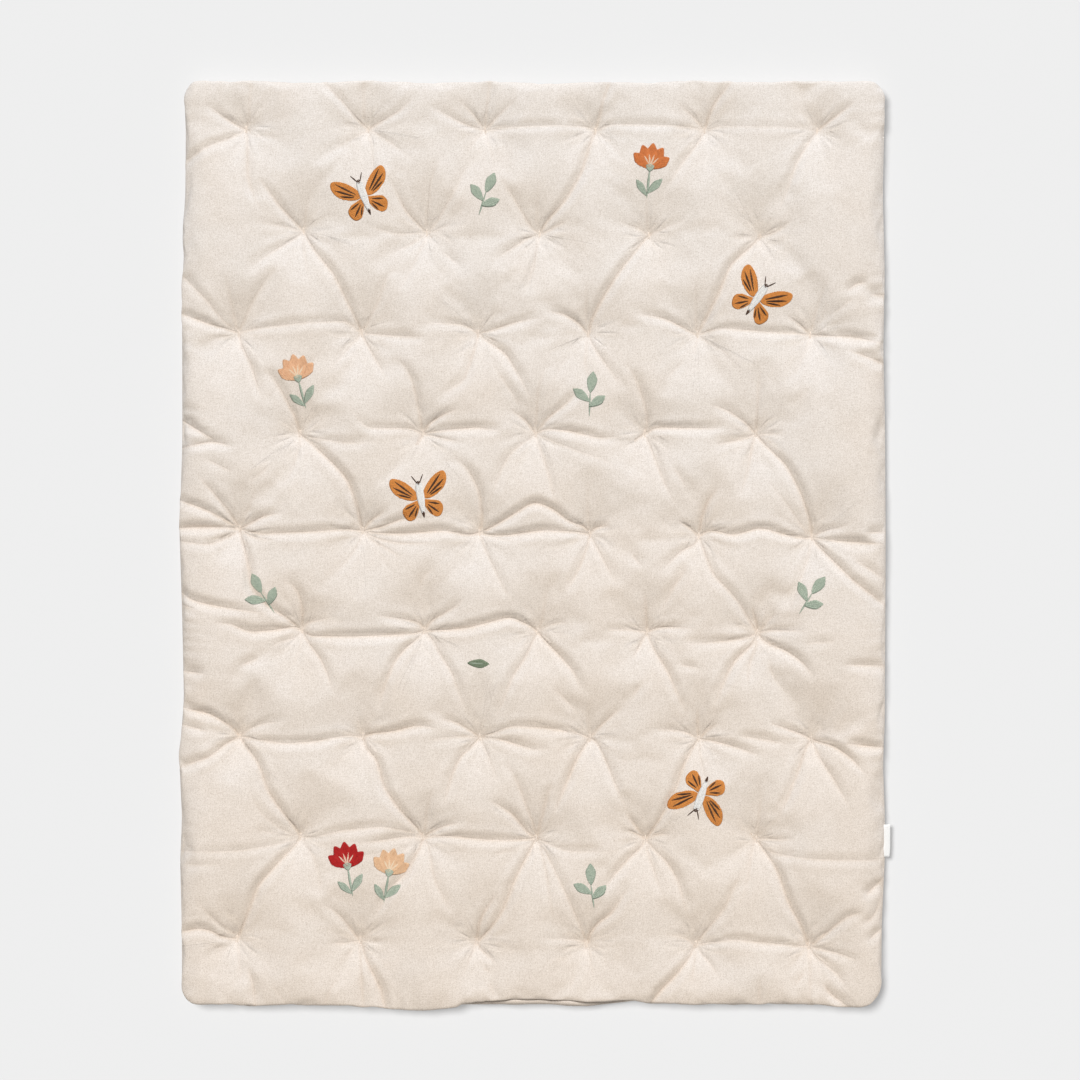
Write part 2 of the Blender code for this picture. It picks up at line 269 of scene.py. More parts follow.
# %% Folds across the middle
MIDDLE_FOLDS = (
    # depth, then x and y of each place along the fold
    # fourth row
    (1.0, -255, 132, -272, 165, -288, 190),
    (1.2, -382, 134, -362, 122, -338, 108),
    (1.2, -370, 105, -345, 110, -320, 103),
    (0.5, -240, 114, -200, 108, -160, 110),
    (1.3, -240, 108, -215, 85, -200, 68, -190, 40, -186, 20),
    (0.5, -252, 108, -262, 75, -275, 60),
    (0.5, -308, 65, -278, 88),
    (0.7, -130, 124, -180, 124, -200, 150),
    (0.8, -122, 135, -130, 175, -140, 195, -155, 200),
    (1.2, -115, 128, -95, 140, -80, 145),
    (1.2, -105, 121, -60, 125, -30, 120),
    (0.9, -105, 115, -75, 108),
    (0.5, -168, 60, -140, 92),
    (1.0, -88, 95, -70, 80, -58, 55, -55, 25),
    (1.2, -5, 130, -25, 145),
    (0.6, 3, 135, 5, 170, 15, 195),
    (1.0, 15, 135, 35, 150, 55, 172),
    (1.1, 10, 124, 40, 121, 70, 113, 95, 115),
    (0.5, 15, 112, 60, 95, 80, 90, 90, 75),
    (0.7, 5, 108, 15, 80, 22, 50, 30, 35),
    (0.5, -5, 112, -25, 98, -35, 80, -50, 40),
    (1.2, 130, 125, 170, 124, 205, 124),
    (0.7, 125, 108, 135, 80, 148, 50, 160, 38),
    (0.7, 150, 85, 165, 60),
    (1.0, 232, 128, 210, 143, 190, 150),
    (0.7, 241, 135, 243, 190),
    (0.8, 230, 113, 195, 106),
    (0.5, 255, 118, 275, 118),
    (0.8, 237, 108, 230, 75, 222, 50),
    (1.2, 248, 108, 272, 85, 288, 55, 300, 20),
    (0.5, 250, 70, 275, 40, 292, 15),
    # fifth row
    (1.2, -308, 20, -290, 30, -268, 33),
    (1.0, -295, 10, -245, 12, -200, 15),
    (0.9, -305, 7, -275, 2),
    (1.3, -325, 17, -370, 17, -392, 16),
    (0.7, -380, 2, -350, -2, -325, 8),
    (1.0, -328, 22, -350, 35, -381, 46),
    (0.9, -325, 30, -345, 55, -362, 75),
    (0.7, -320, 75, -355, 92),
    (0.5, -325, 8, -355, 3),
    (1.2, -313, -1, -307, -24, -305, -48, -288, -67, -269, -78, -256, -89),
    (0.3, -312, 28, -300, 55, -305, 70),
    (1.2, -180, 22, -160, 35),
    (1.2, -165, 17, -140, 27, -115, 27),
    (1.3, -170, 11, -140, 10, -95, 14, -70, 8),
    (0.9, -170, 5, -145, 0, -110, 0),
    (0.8, -177, 5, -150, -10, -139, -18),
    (0.5, -191, -5, -215, -35),
    (0.5, -124, -54, -120, -35, -104, -24),
    (1.3, -45, 17, -20, 32, 0, 45, 20, 38, 40, 22, 58, 18),
    (1.3, -45, 8, -30, 8, 10, 14, 50, 12),
    (0.6, -40, 5, -10, 2),
    (0.6, -53, -5, -42, -27, -31, -51, -17, -67),
    (0.5, 58, 25, 58, 70),
    (1.2, 65, 18, 85, 18),
    (0.9, 59, -2, 48, -29, 34, -54),
    (0.7, 66, 0, 90, -45),
    (0.9, 105, -10, 118, -27),
    (1.2, 172, 15, 155, 25),
    (1.2, 180, 20, 187, 45, 200, 62),
    (1.2, 190, 15, 215, 8, 245, 17, 275, 8, 295, 5),
    (1.0, 178, 0, 159, -8, 140, -27),
    (0.7, 167, -24, 151, -46, 137, -75),
    (0.9, 184, -8, 194, -35, 208, -48, 224, -67, 230, -78),
    (0.8, 310, 13, 335, 18, 345, 25),
    (0.9, 316, 4, 330, 2, 365, 0),
    (0.8, 355, 12, 375, 12),
    (1.2, 306, -2, 325, -21, 344, -40, 373, -62),
    (0.7, 344, -16, 373, -35),
    (0.5, 298, -10, 289, -35, 278, -65, 268, -89),
    # sixth row
    (0.9, -271, -39, -256, -46, -250, -62, -249, -84),
    (1.1, -382, -52, -368, -62, -340, -68, -285, -76),
    (0.7, -380, -66, -362, -72),
    (1.2, -348, -85, -326, -86, -307, -96, -280, -94, -253, -89),
    (0.7, -248, -86, -226, -82, -213, -78),
    (1.1, -245, -100, -199, -101, -131, -98),
    (1.0, -242, -109, -229, -124, -221, -143, -213, -165),
    (0.5, -253, -102, -272, -105, -286, -113),
    (0.9, -294, -123, -316, -132),
    (0.3, -251, -110, -256, -127, -275, -146),
    (0.9, -378, -138, -350, -141),
    (0.9, -172, -77, -145, -81, -120, -86),
    (0.9, -122, -101, -137, -112, -150, -127, -161, -154, -169, -184),
    (1.0, -112, -84, -93, -74, -74, -60),
    (1.3, -100, -94, -74, -92, -42, -84, -25, -79, 2, -92),
    (0.8, -108, -105, -99, -123, -88, -138, -80, -162, -70, -187),
    (0.5, 8, -89, 12, -67, 15, -43),
    (0.5, 12, -88, 42, -84),
    (0.9, -2, -108, -9, -124, -23, -143, -31, -165, -42, -189),
    (1.1, 12, -105, 31, -124, 45, -140, 53, -162),
    (0.7, 21, -154, 42, -176, 50, -187),
    (0.8, 75, -93, 105, -93),
    (0.9, 120, -51, 122, -80),
    (1.0, 129, -92, 148, -90, 175, -92),
    (1.0, 118, -105, 105, -127),
    (0.8, 116, -149, 105, -168),
    (1.0, 129, -113, 146, -140, 156, -165, 167, -187),
    (1.1, 234, -65, 240, -82),
    (0.8, 250, -88, 262, -73),
    (0.9, 251, -94, 295, -94),
    (0.6, 289, -108, 325, -105),
    (0.8, 230, -103, 189, -107, 165, -109),
    (0.9, 156, -130, 181, -135),
    (1.3, 238, -108, 216, -127, 205, -149, 194, -176),
    (0.8, 240, -111, 232, -132, 230, -159),
    (1.4, 249, -107, 273, -116, 292, -130, 303, -146),
    (0.6, 252, -120, 259, -146, 276, -165),
    (0.7, 330, -130, 371, -132),
)

# %% [markdown]
# At the near end many short folds run out to the edge, on both sides of the hand-closed stretch.

# %% Folds at the near end
NEAR_FOLDS = (
    # depth, then x and y of each place along the fold
    # seventh row
    (1.2, -375, -178, -348, -184, -335, -192, -324, -199),
    (0.9, -372, -197, -348, -203),
    (0.9, -375, -239, -348, -230, -332, -216, -321, -211),
    (0.6, -307, -200, -288, -193, -267, -192),
    (0.8, -303, -211, -269, -216, -237, -214, -200, -207),
    (1.2, -311, -219, -297, -235, -286, -268, -266, -296, -253, -312),
    (0.4, -310, -260, -292, -292, -270, -310),
    (1.3, -180, -206, -150, -203, -126, -196, -99, -200),
    (1.2, -181, -222, -169, -232, -161, -263, -144, -288, -122, -311),
    (0.5, -115, -211, -80, -208),
    (1.0, -104, -188, -85, -192, -66, -203),
    (0.9, -47, -206, -25, -197, 12, -199, 50, -205),
    (0.9, -42, -210, -20, -216, 2, -223, 23, -220),
    (1.0, -63, -216, -80, -231, -90, -255, -97, -285),
    (0.5, -53, -219, -44, -241, -39, -257),
    (0.8, -31, -235, -20, -250, -9, -279, 1, -306),
    (1.3, 57, -216, 45, -235, 34, -262, 20, -295),
    (1.0, 67, -211, 80, -238, 89, -262, 103, -292),
    (0.9, 69, -200, 83, -187, 98, -173),
    (0.4, 59, -165, 59, -192),
    (1.0, 177, -176, 177, -198),
    (0.8, 130, -200, 160, -202, 172, -207),
    (1.0, 186, -203, 202, -192),
    (1.0, 188, -212, 216, -219, 246, -229),
    (1.0, 219, -207, 246, -211, 273, -216),
    (1.2, 173, -219, 162, -238, 151, -271, 134, -301),
    (0.5, 179, -225, 184, -250, 194, -276),
    (1.2, 251, -192, 273, -200, 295, -208),
    (1.2, 306, -214, 325, -219, 344, -233, 362, -254),
    (1.1, 333, -215, 371, -220),
    (1.0, 295, -219, 286, -244, 273, -276, 259, -303),
    (0.8, 306, -227, 324, -255, 343, -290),
    # eighth row
    (0.5, -262, -316, -280, -312, -297, -309),
    (0.4, -264, -321, -280, -325, -321, -331, -375, -332),
    (0.3, -375, -346, -335, -345),
    (0.6, -240, -318, -204, -309, -161, -305, -130, -312),
    (0.7, -199, -324, -156, -319, -134, -316),
    (0.4, -229, -335, -202, -337, -177, -336, -145, -330),
    (0.4, -243, -328, -233, -347, -230, -366, -230, -387),
    (1.1, -256, -325, -272, -341, -297, -369, -313, -412),
    (0.6, -117, -309, -116, -293, -112, -272, -104, -260),
    (1.2, -110, -311, -101, -307, -91, -303, -77, -301),
    (1.0, -107, -316, -85, -316, -69, -318, -47, -320, -20, -320),
    (0.3, -93, -333, -72, -333),
    (0.4, -47, -336, -23, -330),
    (0.6, -112, -330, -108, -358, -100, -377, -85, -401),
    (1.2, -122, -328, -139, -357, -156, -373, -164, -390, -175, -409),
    (1.2, -6, -313, -23, -291, -48, -275),
    (1.0, 6, -306, 10, -293, 16, -266, 20, -255),
    (0.5, 14, -324, 37, -332, 94, -332),
    (1.1, -2, -328, -19, -360, -34, -398, -50, -420),
    (0.7, 8, -328, 15, -360, 19, -393, 23, -409),
    (0.7, 12, -331, 26, -358, 42, -393, 52, -416),
    (1.0, 99, -287, 105, -298, 113, -309),
    (1.0, 99, -309, 110, -312),
    (0.8, 131, -314, 150, -314),
    (0.9, 118, -328, 107, -336, 95, -348, 67, -382),
    (0.7, 122, -330, 128, -347, 135, -369, 144, -385),
    (0.8, 128, -329, 145, -344, 156, -363, 168, -409),
    (0.5, 242, -306, 244, -279, 244, -257),
    (0.7, 250, -318, 262, -320, 284, -318),
    (0.5, 251, -332, 275, -337, 305, -340, 373, -341),
    (1.2, 248, -330, 262, -350, 275, -388, 290, -415),
    (0.5, 235, -333, 231, -360, 224, -388),
    (0.7, 229, -344, 216, -369, 206, -393, 185, -420),
    # ninth row and the near edge
    (0.5, -324, -420, -337, -412, -351, -398, -364, -382),
    (1.0, -328, -427, -337, -425, -348, -417, -362, -415, -377, -419),
    (0.3, -312, -428, -299, -427),
    (0.4, -318, -439, -317, -455, -316, -474),
    (0.7, -309, -455, -303, -469, -301, -488),
    (0.3, -282, -474, -272, -488),
    (0.8, -191, -425, -202, -409, -215, -394, -232, -388),
    (0.5, -196, -430, -204, -432, -223, -430),
    (0.4, -177, -430, -158, -427),
    (0.7, -187, -440, -185, -474, -184, -493),
    (1.1, -179, -452, -170, -469, -164, -482, -161, -496),
    (0.4, -222, -488, -217, -474, -207, -467),
    (1.1, -61, -424, -59, -412, -54, -398, -38, -375),
    (0.4, -67, -430, -77, -426, -91, -426),
    (0.6, -65, -439, -72, -455, -77, -467),
    (1.0, -58, -439, -47, -446, -39, -455),
    (0.9, -57, -455, -46, -463),
    (0.5, -47, -471, -44, -485),
    (1.1, 59, -424, 69, -409, 83, -401, 91, -387, 103, -369),
    (0.5, 52, -428, 40, -427, 4, -425),
    (0.5, 61, -442, 63, -458, 65, -474),
    (0.5, 45, -463, 38, -482),
    (0.7, 184, -432, 197, -430, 216, -427, 251, -431, 289, -435),
    (0.5, 170, -430, 162, -425, 140, -420),
    (1.2, 170, -445, 151, -469, 137, -482, 129, -493),
    (0.6, 174, -445, 171, -469, 170, -480),
    (0.6, 180, -442, 189, -451, 198, -463, 202, -472),
    (0.4, 243, -466, 243, -493),
    (1.0, 304, -432, 322, -415, 338, -401, 357, -396),
    (0.9, 354, -382, 370, -368),
    (0.6, 354, -412, 368, -401, 373, -387),
    (0.8, 359, -428, 372, -419),
    (0.9, 308, -438, 330, -442, 351, -450),
    (0.7, 304, -446, 330, -466, 338, -482),
    (1.0, 311, -472, 319, -485, 330, -493),
    (0.5, 298, -446, 298, -485),
    (0.8, 293, -460, 281, -477),
)
FOLDS = FAR_FOLDS + MIDDLE_FOLDS + NEAR_FOLDS
print(len(FOLDS), "folds laid by hand")

# %% [markdown]
# ## From a row of places to a soft valley
#
# Each row of the tables becomes a smooth line with a depth at every place. A fold that ends near a
# tack is led right into it, and a free end fades out.

# %% Fold lines
PLAN_MIDDLE = (-2.0, 0.6)   # mm, the middle of the plan in the CAD's frame
RUN_IN = 24 * MM            # a fold that ends this near a tack runs into it
STEP = 4 * MM               # between two places on a fold's smooth line
FADE = 0.75                 # share of its length over which a free end fades out
SLACK = 0.35                # how much shallower a long fold is halfway between two tacks
SMOOTHING = 4               # rounds of smoothing
BAR_LENGTH = 7 * MM         # the thread bar that holds a tack down
HALF_WIDTH = 380 * MM       # the plan's own half-sizes
HALF_LENGTH = 499 * MM
RIM_ZONE = 16 * MM          # a fold that ends this near the rim runs into the seam
LEFT_AT_RIM = 0.4           # share of its depth that such a fold keeps there
middle = np.array(PLAN_MIDDLE) * MM


def tack_distances(places):
    """Distance from each place to the thread bar of each tack, which is a short line along Y."""
    out = np.abs(places[:, None] - tacks)
    return np.hypot(out[:, :, 0], np.clip(out[:, :, 1] - BAR_LENGTH / 2, 0, None))


def tack_distance(places):
    return tack_distances(places).min(axis=1)


def run_into_tack(places, end):
    away = np.hypot(*(tacks - places[end]).T)
    nearest = int(np.argmin(away))
    if away[nearest] > RUN_IN:
        return places, False
    joined = [places, tacks[nearest:nearest + 1]] if end else [tacks[nearest:nearest + 1], places]
    return np.concatenate(joined), True


def at_rim(end):
    """What is left of a fold's depth where it ends: some at the mat's rim, nothing elsewhere."""
    inside = np.array((HALF_WIDTH, HALF_LENGTH)) - abs(end - middle)
    return LEFT_AT_RIM if inside.min() < RIM_ZONE else 0


def fold_line(row):
    """A fold's smooth line and its depth at every place on it, from its row of the table."""
    depth, *numbers = row
    places = (np.array(numbers).reshape(-1, 2) + PLAN_MIDDLE) * MM
    places, starts_at_tack = run_into_tack(places, 0)
    places, ends_at_tack = run_into_tack(places, -1)
    along = np.append(0, np.cumsum(np.hypot(*np.diff(places, axis=0).T)))
    spots = np.linspace(0, along[-1], max(3, round(along[-1] / STEP) + 1))
    line = np.stack([np.interp(spots, along, places[:, axis]) for axis in (0, 1)], axis=1)
    for _ in range(SMOOTHING):
        line[1:-1] = (line[:-2] + 2 * line[1:-1] + line[2:]) / 4
    share = spots / along[-1]
    left = np.ones(len(spots))
    if starts_at_tack and ends_at_tack:
        left -= SLACK * (1 - (2 * share - 1) ** 2)
    if not ends_at_tack:
        left *= np.clip((1 - share) / FADE + at_rim(line[-1]), 0, 1)
    if not starts_at_tack:
        left *= np.clip(share / FADE + at_rim(line[0]), 0, 1)
    return line, depth * left * (2 - left)


fold_lines = [fold_line(row) for row in FOLDS]
print("longest fold, mm:", round(max(len(line) for line, _ in fold_lines) * STEP / MM))

# %% [markdown]
# Across its line the cloth dips in a rounded V: two puffs that meet, steepest where they touch. Where
# folds cross or join, their depths are blended, so that they don't add up to a hole. The tacks' own
# dimples are blended in the same way.

# %% How deep the folds are
BLEND = 2.6                 # how sharply the deepest fold wins where several meet
NARROW = 0.58               # a fold's width beside a tack, as a share of its width far from it
NARROW_REACH = 45 * MM


def beside_line(places, line, reach):
    """Which places lie near a fold's line, and for each the line's nearest stretch, how far along
    that stretch the nearest point lies, and how far away it is."""
    low = line.min(axis=0) - reach
    high = line.max(axis=0) + reach
    near = np.flatnonzero(((places > low) & (places < high)).all(axis=1))
    run = line[1:] - line[:-1]
    back = places[near, None] - line[None, :-1]
    share = np.clip((back * run).sum(axis=2) / (run**2).sum(axis=1), 0, 1)
    away = np.hypot(*np.moveaxis(back - share[:, :, None] * run, 2, 0))
    best = away.argmin(axis=1)
    spot = np.arange(len(near))
    return near, best, share[spot, best], away[spot, best]


def fold_depth(places, width, profile):
    """How deep the folds are at each place.

    The profile gives the shape across a fold, from its bottom line at 0 to its side at 1. Folds are
    narrower close to a tack.
    """
    total = np.zeros(len(places))
    widths = width * (NARROW + (1 - NARROW) * np.clip(tack_distance(places) / NARROW_REACH, 0, 1))
    for line, depths in fold_lines:
        near, best, part, away = beside_line(places, line, width)
        depth = depths[best] * (1 - part) + depths[best + 1] * part
        across = np.clip(away / widths[near], 0, 1)
        total[near] += (depth * profile(across)) ** BLEND
    return total ** (1 / BLEND)

# %% [markdown]
# ## The two panels
#
# The mat starts as a grid, one cell for about every six millimetres of cloth. Rings of closer cells
# at the rim turn the top panel down to the seam, which is drawn in a little between the two panels.
# Along one stretch of the near side the mat was filled, then closed by hand. The seam there lies
# higher and further in, and the back panel curls up round the edge as a narrow lip.

# %% Rim and closing
CELL = 6.4 * MM
SEAM_HEIGHT = 10 * MM
RIM_RINGS = (
    # in from the outline (mm), share of the rise to the top at the long sides, at the ends
    (1.0, 0.00, 0.00),
    (0.4, 0.13, 0.28),
    (0.0, 0.26, 0.56),
    (0.5, 0.39, 0.79),
    (2.0, 0.52, 0.90),
    (5.0, 0.67, 0.94),
    (9.8, 0.82, 0.97),
    (16.0, 0.94, 0.99),
)
CLOSING = (-82, 117)        # where along X the near side was closed, mm from the middle
CLOSING_RIM = (
    # extra way in and extra height (mm) of each ring of the top panel
    (9.2, 6.5),
    (9.4, 5.0),
    (9.0, 1.4),
    (8.2, 0.2),
    (6.4, -0.4),
    (4.0, -0.3),
    (2.0, 0.0),
    (0.6, 0.0),
)


def closing_share(x):
    """How much of the closing there is at places along the near side: 0 outside it, uneven within."""
    along = np.clip((x / MM - CLOSING[0]) / (CLOSING[1] - CLOSING[0]), 0, 1)
    uneven = 0.88 + 0.08 * np.sin(21 * along + 1) + 0.05 * np.sin(43 * along + 1)
    return np.sqrt(np.sin(pi * along)) * uneven * (1.06 - 0.22 * along)


def close_by_hand(places, row, rim):
    """Draws the near rim in and up along the closing, by the rim's table."""
    table = np.array(list(rim) + [(0.0, 0.0)]) * MM
    change = table[np.minimum(row, len(rim))] * closing_share(places[:, 0] - middle[0])[:, None]
    places[:, 1:] += change
    return places


def grid_lines(half):
    inner = half - RIM_RINGS[-1][0] * MM - CELL
    rim = [half - ring[0] * MM for ring in RIM_RINGS]
    cells = round(2 * inner / CELL)
    return np.array([-at for at in rim] + list(np.linspace(-inner, inner, cells + 1)) + rim[::-1])


lines_x = grid_lines(HALF_WIDTH)
lines_y = grid_lines(HALF_LENGTH)
print("grid lines:", len(lines_x), "x", len(lines_y))

# %% [markdown]
# ## Outline
#
# The sides of the real mat aren't straight: the filling bulges them out between the tacks. The CAD
# solid has these bulges, so they are read from it. Its far side waves more than the real one does, so
# its waves are flattened there. Each corner becomes an arc, the near right one rounder.

# %% Outline
CORNER_RADIUS = 21 * MM
NEAR_RIGHT_RADIUS = 28 * MM
FAR_SIDE_WAVES = 0.3        # the far side's own waves, as a share of the CAD's
FAR_SIDE_IN = 1.4 * MM      # how much further in the far side lies than the CAD's
SIDE_SHARPNESS = 9          # power by which a side's bulges fade towards the middle of the mat
AT_OUTLINE = 0.985          # CAD points further out than this share of the half-size are on the side


def side_bulge(axis, sign, half):
    """Places along one side of the CAD solid and how far it bulges beyond the even outline at each."""
    reach = {}
    for point in cad_points[:, :2] - middle:
        place = round(point[1 - axis], 4)
        reach[place] = max(reach.get(place, 0), sign * point[axis])
    straight = (HALF_LENGTH, HALF_WIDTH)[axis] - CORNER_RADIUS
    rows = sorted(
        (place, out - half) for place, out in reach.items()
        if out > half * AT_OUTLINE and abs(place) < straight)
    return np.array(rows).T


def round_corner(x, y):
    """Moves places near the square corners so that each corner becomes an arc."""
    radius = np.where((x > 0) & (y < 0), NEAR_RIGHT_RADIUS, CORNER_RADIUS)
    across = (abs(x) - (HALF_WIDTH - radius)) / radius
    along = (abs(y) - (HALF_LENGTH - radius)) / radius
    corner = (across > 0) & (along > 0)
    arc_x = HALF_WIDTH - radius + radius * across * np.sqrt(1 - np.clip(along, 0, 1)**2 / 2)
    arc_y = HALF_LENGTH - radius + radius * along * np.sqrt(1 - np.clip(across, 0, 1)**2 / 2)
    return np.where(corner, np.sign(x) * arc_x, x), np.where(corner, np.sign(y) * arc_y, y)


bulges = {
    (axis, sign): side_bulge(axis, sign, half)
    for axis, half in ((0, HALF_WIDTH), (1, HALF_LENGTH))
    for sign in (-1, 1)
}
far_side = bulges[1, 1]
far_side[1] = far_side[1].mean() + FAR_SIDE_WAVES * (far_side[1] - far_side[1].mean()) - FAR_SIDE_IN


def bulged(x, y):
    """Moves places with the bulges of the sides nearest to them."""
    moved = []
    for axis, along, across, half in ((0, x, y, HALF_WIDTH), (1, y, x, HALF_LENGTH)):
        outs = [np.interp(across, *bulges[axis, sign]) for sign in (-1, 1)]
        out = np.where(along > 0, outs[1], outs[0])
        moved.append(along + np.sign(along) * out * abs(along / half) ** SIDE_SHARPNESS)
    return moved


print("bulges of the far side, mm:", (far_side[1] / MM).round(1))

# %% [markdown]
# ## Start shape of the top panel
#
# The top panel gets its relief before the simulation: the rim's rise, the dimples at the tacks and
# the folds.

# %% Height of the top panel
CROWN = 25.5 * MM         # top of a puff before it swells
DIMPLE_NEAR = 13 * MM     # how fast a dimple's steep middle fades
DIMPLE_FAR = 38 * MM      # how fast its wide skirt fades
DIMPLE_SHARE = 0.52       # share of the dimple in its steep middle
FOLD_WIDTH = 23 * MM      # half-width of a fold
FOLD_DEPTH = 5.6 * MM     # depth of an ordinary fold
FOLD_POWER = 1.65         # above 1, a fold is steepest at its bottom line


def top_height(places):
    """Height of the top panel away from its rim."""
    dip = CROWN - TACK_HEIGHT
    near = np.exp(-tack_distance(places) / DIMPLE_NEAR)
    far = 1 - np.prod(1 - np.exp(-tack_distances(places) / DIMPLE_FAR), axis=1)
    dimple = dip * (DIMPLE_SHARE * near + (1 - DIMPLE_SHARE) * far)
    valley = fold_depth(places, FOLD_WIDTH, lambda across: (1 - across) ** FOLD_POWER)
    folds = FOLD_DEPTH * valley
    return CROWN - np.minimum((dimple**BLEND + folds**BLEND) ** (1 / BLEND), dip)


# %% [markdown]
# The panel is a flat grid whose lines then move to their places. Its UV map is the cloth as it was
# cut, so that the weave follows the cloth up the rim. The cells' own corners slide onto the tacks, so
# that every dimple has a point to hang on.

# %% Start shape
PINNED_ROWS = 4           # rows of the closing's lip that the simulation leaves in place
PINNED_SHARE = 0.2        # where the closing is at least this strong


def cut_length(lines):
    """Where each grid line lies on the flat cloth, which the rim's rise takes more of."""
    rise = CROWN - SEAM_HEIGHT
    steps = np.abs(np.diff(lines))
    for index in range(len(RIM_RINGS) - 1):
        up = (RIM_RINGS[index + 1][2] - RIM_RINGS[index][2]) * rise
        steps[index] = hypot(steps[index], up)
        steps[-1 - index] = hypot(steps[-1 - index], up)
    flat = np.append(0, np.cumsum(steps))
    return flat - flat[-1] / 2


def move_corners(obj, places):
    """Puts a mesh's corners at new places."""
    obj.data.vertices.foreach_set("co", places.ravel().astype(np.float32))
    obj.data.update()


def grid_panel(name):
    """A flat grid with its cut cloth as its UV map, and each corner's column and row."""
    bpy.ops.object.select_all(action="DESELECT")
    bpy.ops.mesh.primitive_grid_add(
        x_subdivisions=len(lines_x) - 1, y_subdivisions=len(lines_y) - 1, size=2, location=(0, 0, 0))
    panel = bpy.context.object
    panel.name = panel.data.name = name
    corners = np.array([vert.co[:2] for vert in panel.data.vertices])
    column = np.rint((corners[:, 0] + 1) / 2 * (len(lines_x) - 1)).astype(int)
    row = np.rint((corners[:, 1] + 1) / 2 * (len(lines_y) - 1)).astype(int)
    cut = np.stack([cut_length(lines_x)[column], cut_length(lines_y)[row]], axis=1)
    loops = np.empty(len(panel.data.loops), int)
    panel.data.loops.foreach_get("vertex_index", loops)
    panel.data.uv_layers[0].name = "cut cloth"
    panel.data.uv_layers[0].uv.foreach_set("vector", cut[loops].ravel().astype(np.float32))
    return panel, column, row


mat, column, row = grid_panel("play_mat")
side_ring = np.minimum(column, len(lines_x) - 1 - column)
end_ring = np.minimum(row, len(lines_y) - 1 - row)
ring = np.minimum(side_ring, end_ring)
side_shares, end_shares = np.array([ring_row[1:] for ring_row in RIM_RINGS] + [(1.0, 1.0)]).T
last = len(RIM_RINGS)
rise_share = np.minimum(
    side_shares[np.minimum(side_ring, last)], end_shares[np.minimum(end_ring, last)])
plan = np.stack(bulged(*round_corner(lines_x[column], lines_y[row])), axis=1) + middle
pinned = list(np.flatnonzero(ring == 0))
for tack in tacks:
    nearest = int(np.argmin(np.hypot(*(plan - tack).T)))
    plan[nearest] = tack
    pinned.append(nearest)
height = SEAM_HEIGHT + (top_height(plan) - SEAM_HEIGHT) * rise_share
start = close_by_hand(np.column_stack([plan, height]), row, CLOSING_RIM)
in_lip = (row > 0) & (row <= PINNED_ROWS) & (closing_share(plan[:, 0] - middle[0]) > PINNED_SHARE)
pinned += list(np.flatnonzero(in_lip))
move_corners(mat, start)
print(len(mat.data.vertices), "corners, puffs to", round(height.max() / MM, 1), "mm")

# %% [markdown]
# ## Filling the mat
#
# Wadding pushes the cloth out evenly, like air, and the seam and the tacks hold it. Blender's cloth
# simulation does the same: gravity is off, an even pressure swells the panel, and the corners at the
# seam and at the tacks are pinned. The cloth is cut a little larger than the start shape, so it gathers
# between the tacks, and its bending stiffness remembers the folds from the tables. No corner may move
# further than a few millimetres.

# %% Filling
FRAMES = 30
PRESSURE = 1.0
EXTRA_CLOTH = 0.008    # share by which the cloth is larger than the start shape
MOST_MOVE = 6 * MM


def fill_with_wadding(panel, pinned):
    """Runs the simulation and returns the corners' new places."""
    pins = panel.vertex_groups.new(name="sewn")
    pins.add([int(index) for index in pinned], 1.0, "REPLACE")
    cloth = panel.modifiers.new("cloth", "CLOTH")
    cloth.settings.quality = 5
    cloth.settings.mass = 0.3
    cloth.settings.tension_stiffness = 15
    cloth.settings.compression_stiffness = 15
    cloth.settings.shear_stiffness = 5
    cloth.settings.bending_stiffness = 0.5
    cloth.settings.vertex_group_mass = "sewn"
    cloth.settings.shrink_min = -EXTRA_CLOTH
    cloth.settings.use_pressure = True
    cloth.settings.uniform_pressure_force = PRESSURE
    cloth.settings.pressure_factor = 1
    cloth.settings.effector_weights.gravity = 0
    cloth.collision_settings.use_collision = False
    cloth.point_cache.frame_start = 1
    cloth.point_cache.frame_end = FRAMES
    for number in range(1, FRAMES + 1):
        bpy.context.scene.frame_set(number)
    filled = panel.evaluated_get(bpy.context.evaluated_depsgraph_get())
    places = np.empty(len(panel.data.vertices) * 3, np.float32)
    filled.data.vertices.foreach_get("co", places)
    panel.modifiers.remove(cloth)
    panel.vertex_groups.remove(pins)
    bpy.context.scene.frame_set(1)
    return places.reshape(-1, 3).astype(float)


settled = fill_with_wadding(mat, pinned)
move = settled - start
length = np.linalg.norm(move, axis=1, keepdims=True)
settled = start + move * np.minimum(1, MOST_MOVE / np.maximum(length, 1e-9))
settled[pinned] = start[pinned]
move_corners(mat, settled)
print("moved by up to", round(length.max() / MM, 1), "mm")
print("puffs to", round(settled[:, 2].max() / MM, 1), "mm")

# %% [markdown]
# ## Sharp creases, gathers and soft lumps
#
# The simulation rounds everything to the size of its cells. Real cotton is thin: it creases sharply
# where two puffs meet, bulges into a soft ridge beside the crease, gathers into fine pleats round each
# tack and along the sewn rim, and follows the lumps of the wadding. Each of these five effects is a
# function that gives a little rise or fall at every place. Creases, ridges and lumps come first.

# %% Creases, ridges and lumps
CREASE_WIDTH = 9 * MM
CREASE_DEPTH = 1.35 * MM
RIDGE_WIDTH = 16 * MM
RIDGE_HEIGHT = 1.0 * MM
LUMPS = (
    # size, height in mm
    (44, 0.95),
    (19, 0.45),
    (9, 0.10),
)


def creases(places):
    return -CREASE_DEPTH * fold_depth(places, CREASE_WIDTH, lambda across: (1 - across) ** 1.6)


def ridges(places):
    """Soft ridges halfway out on both sides of each fold."""
    return RIDGE_HEIGHT * fold_depth(places, RIDGE_WIDTH, lambda across: np.sin(pi * across) ** 2)


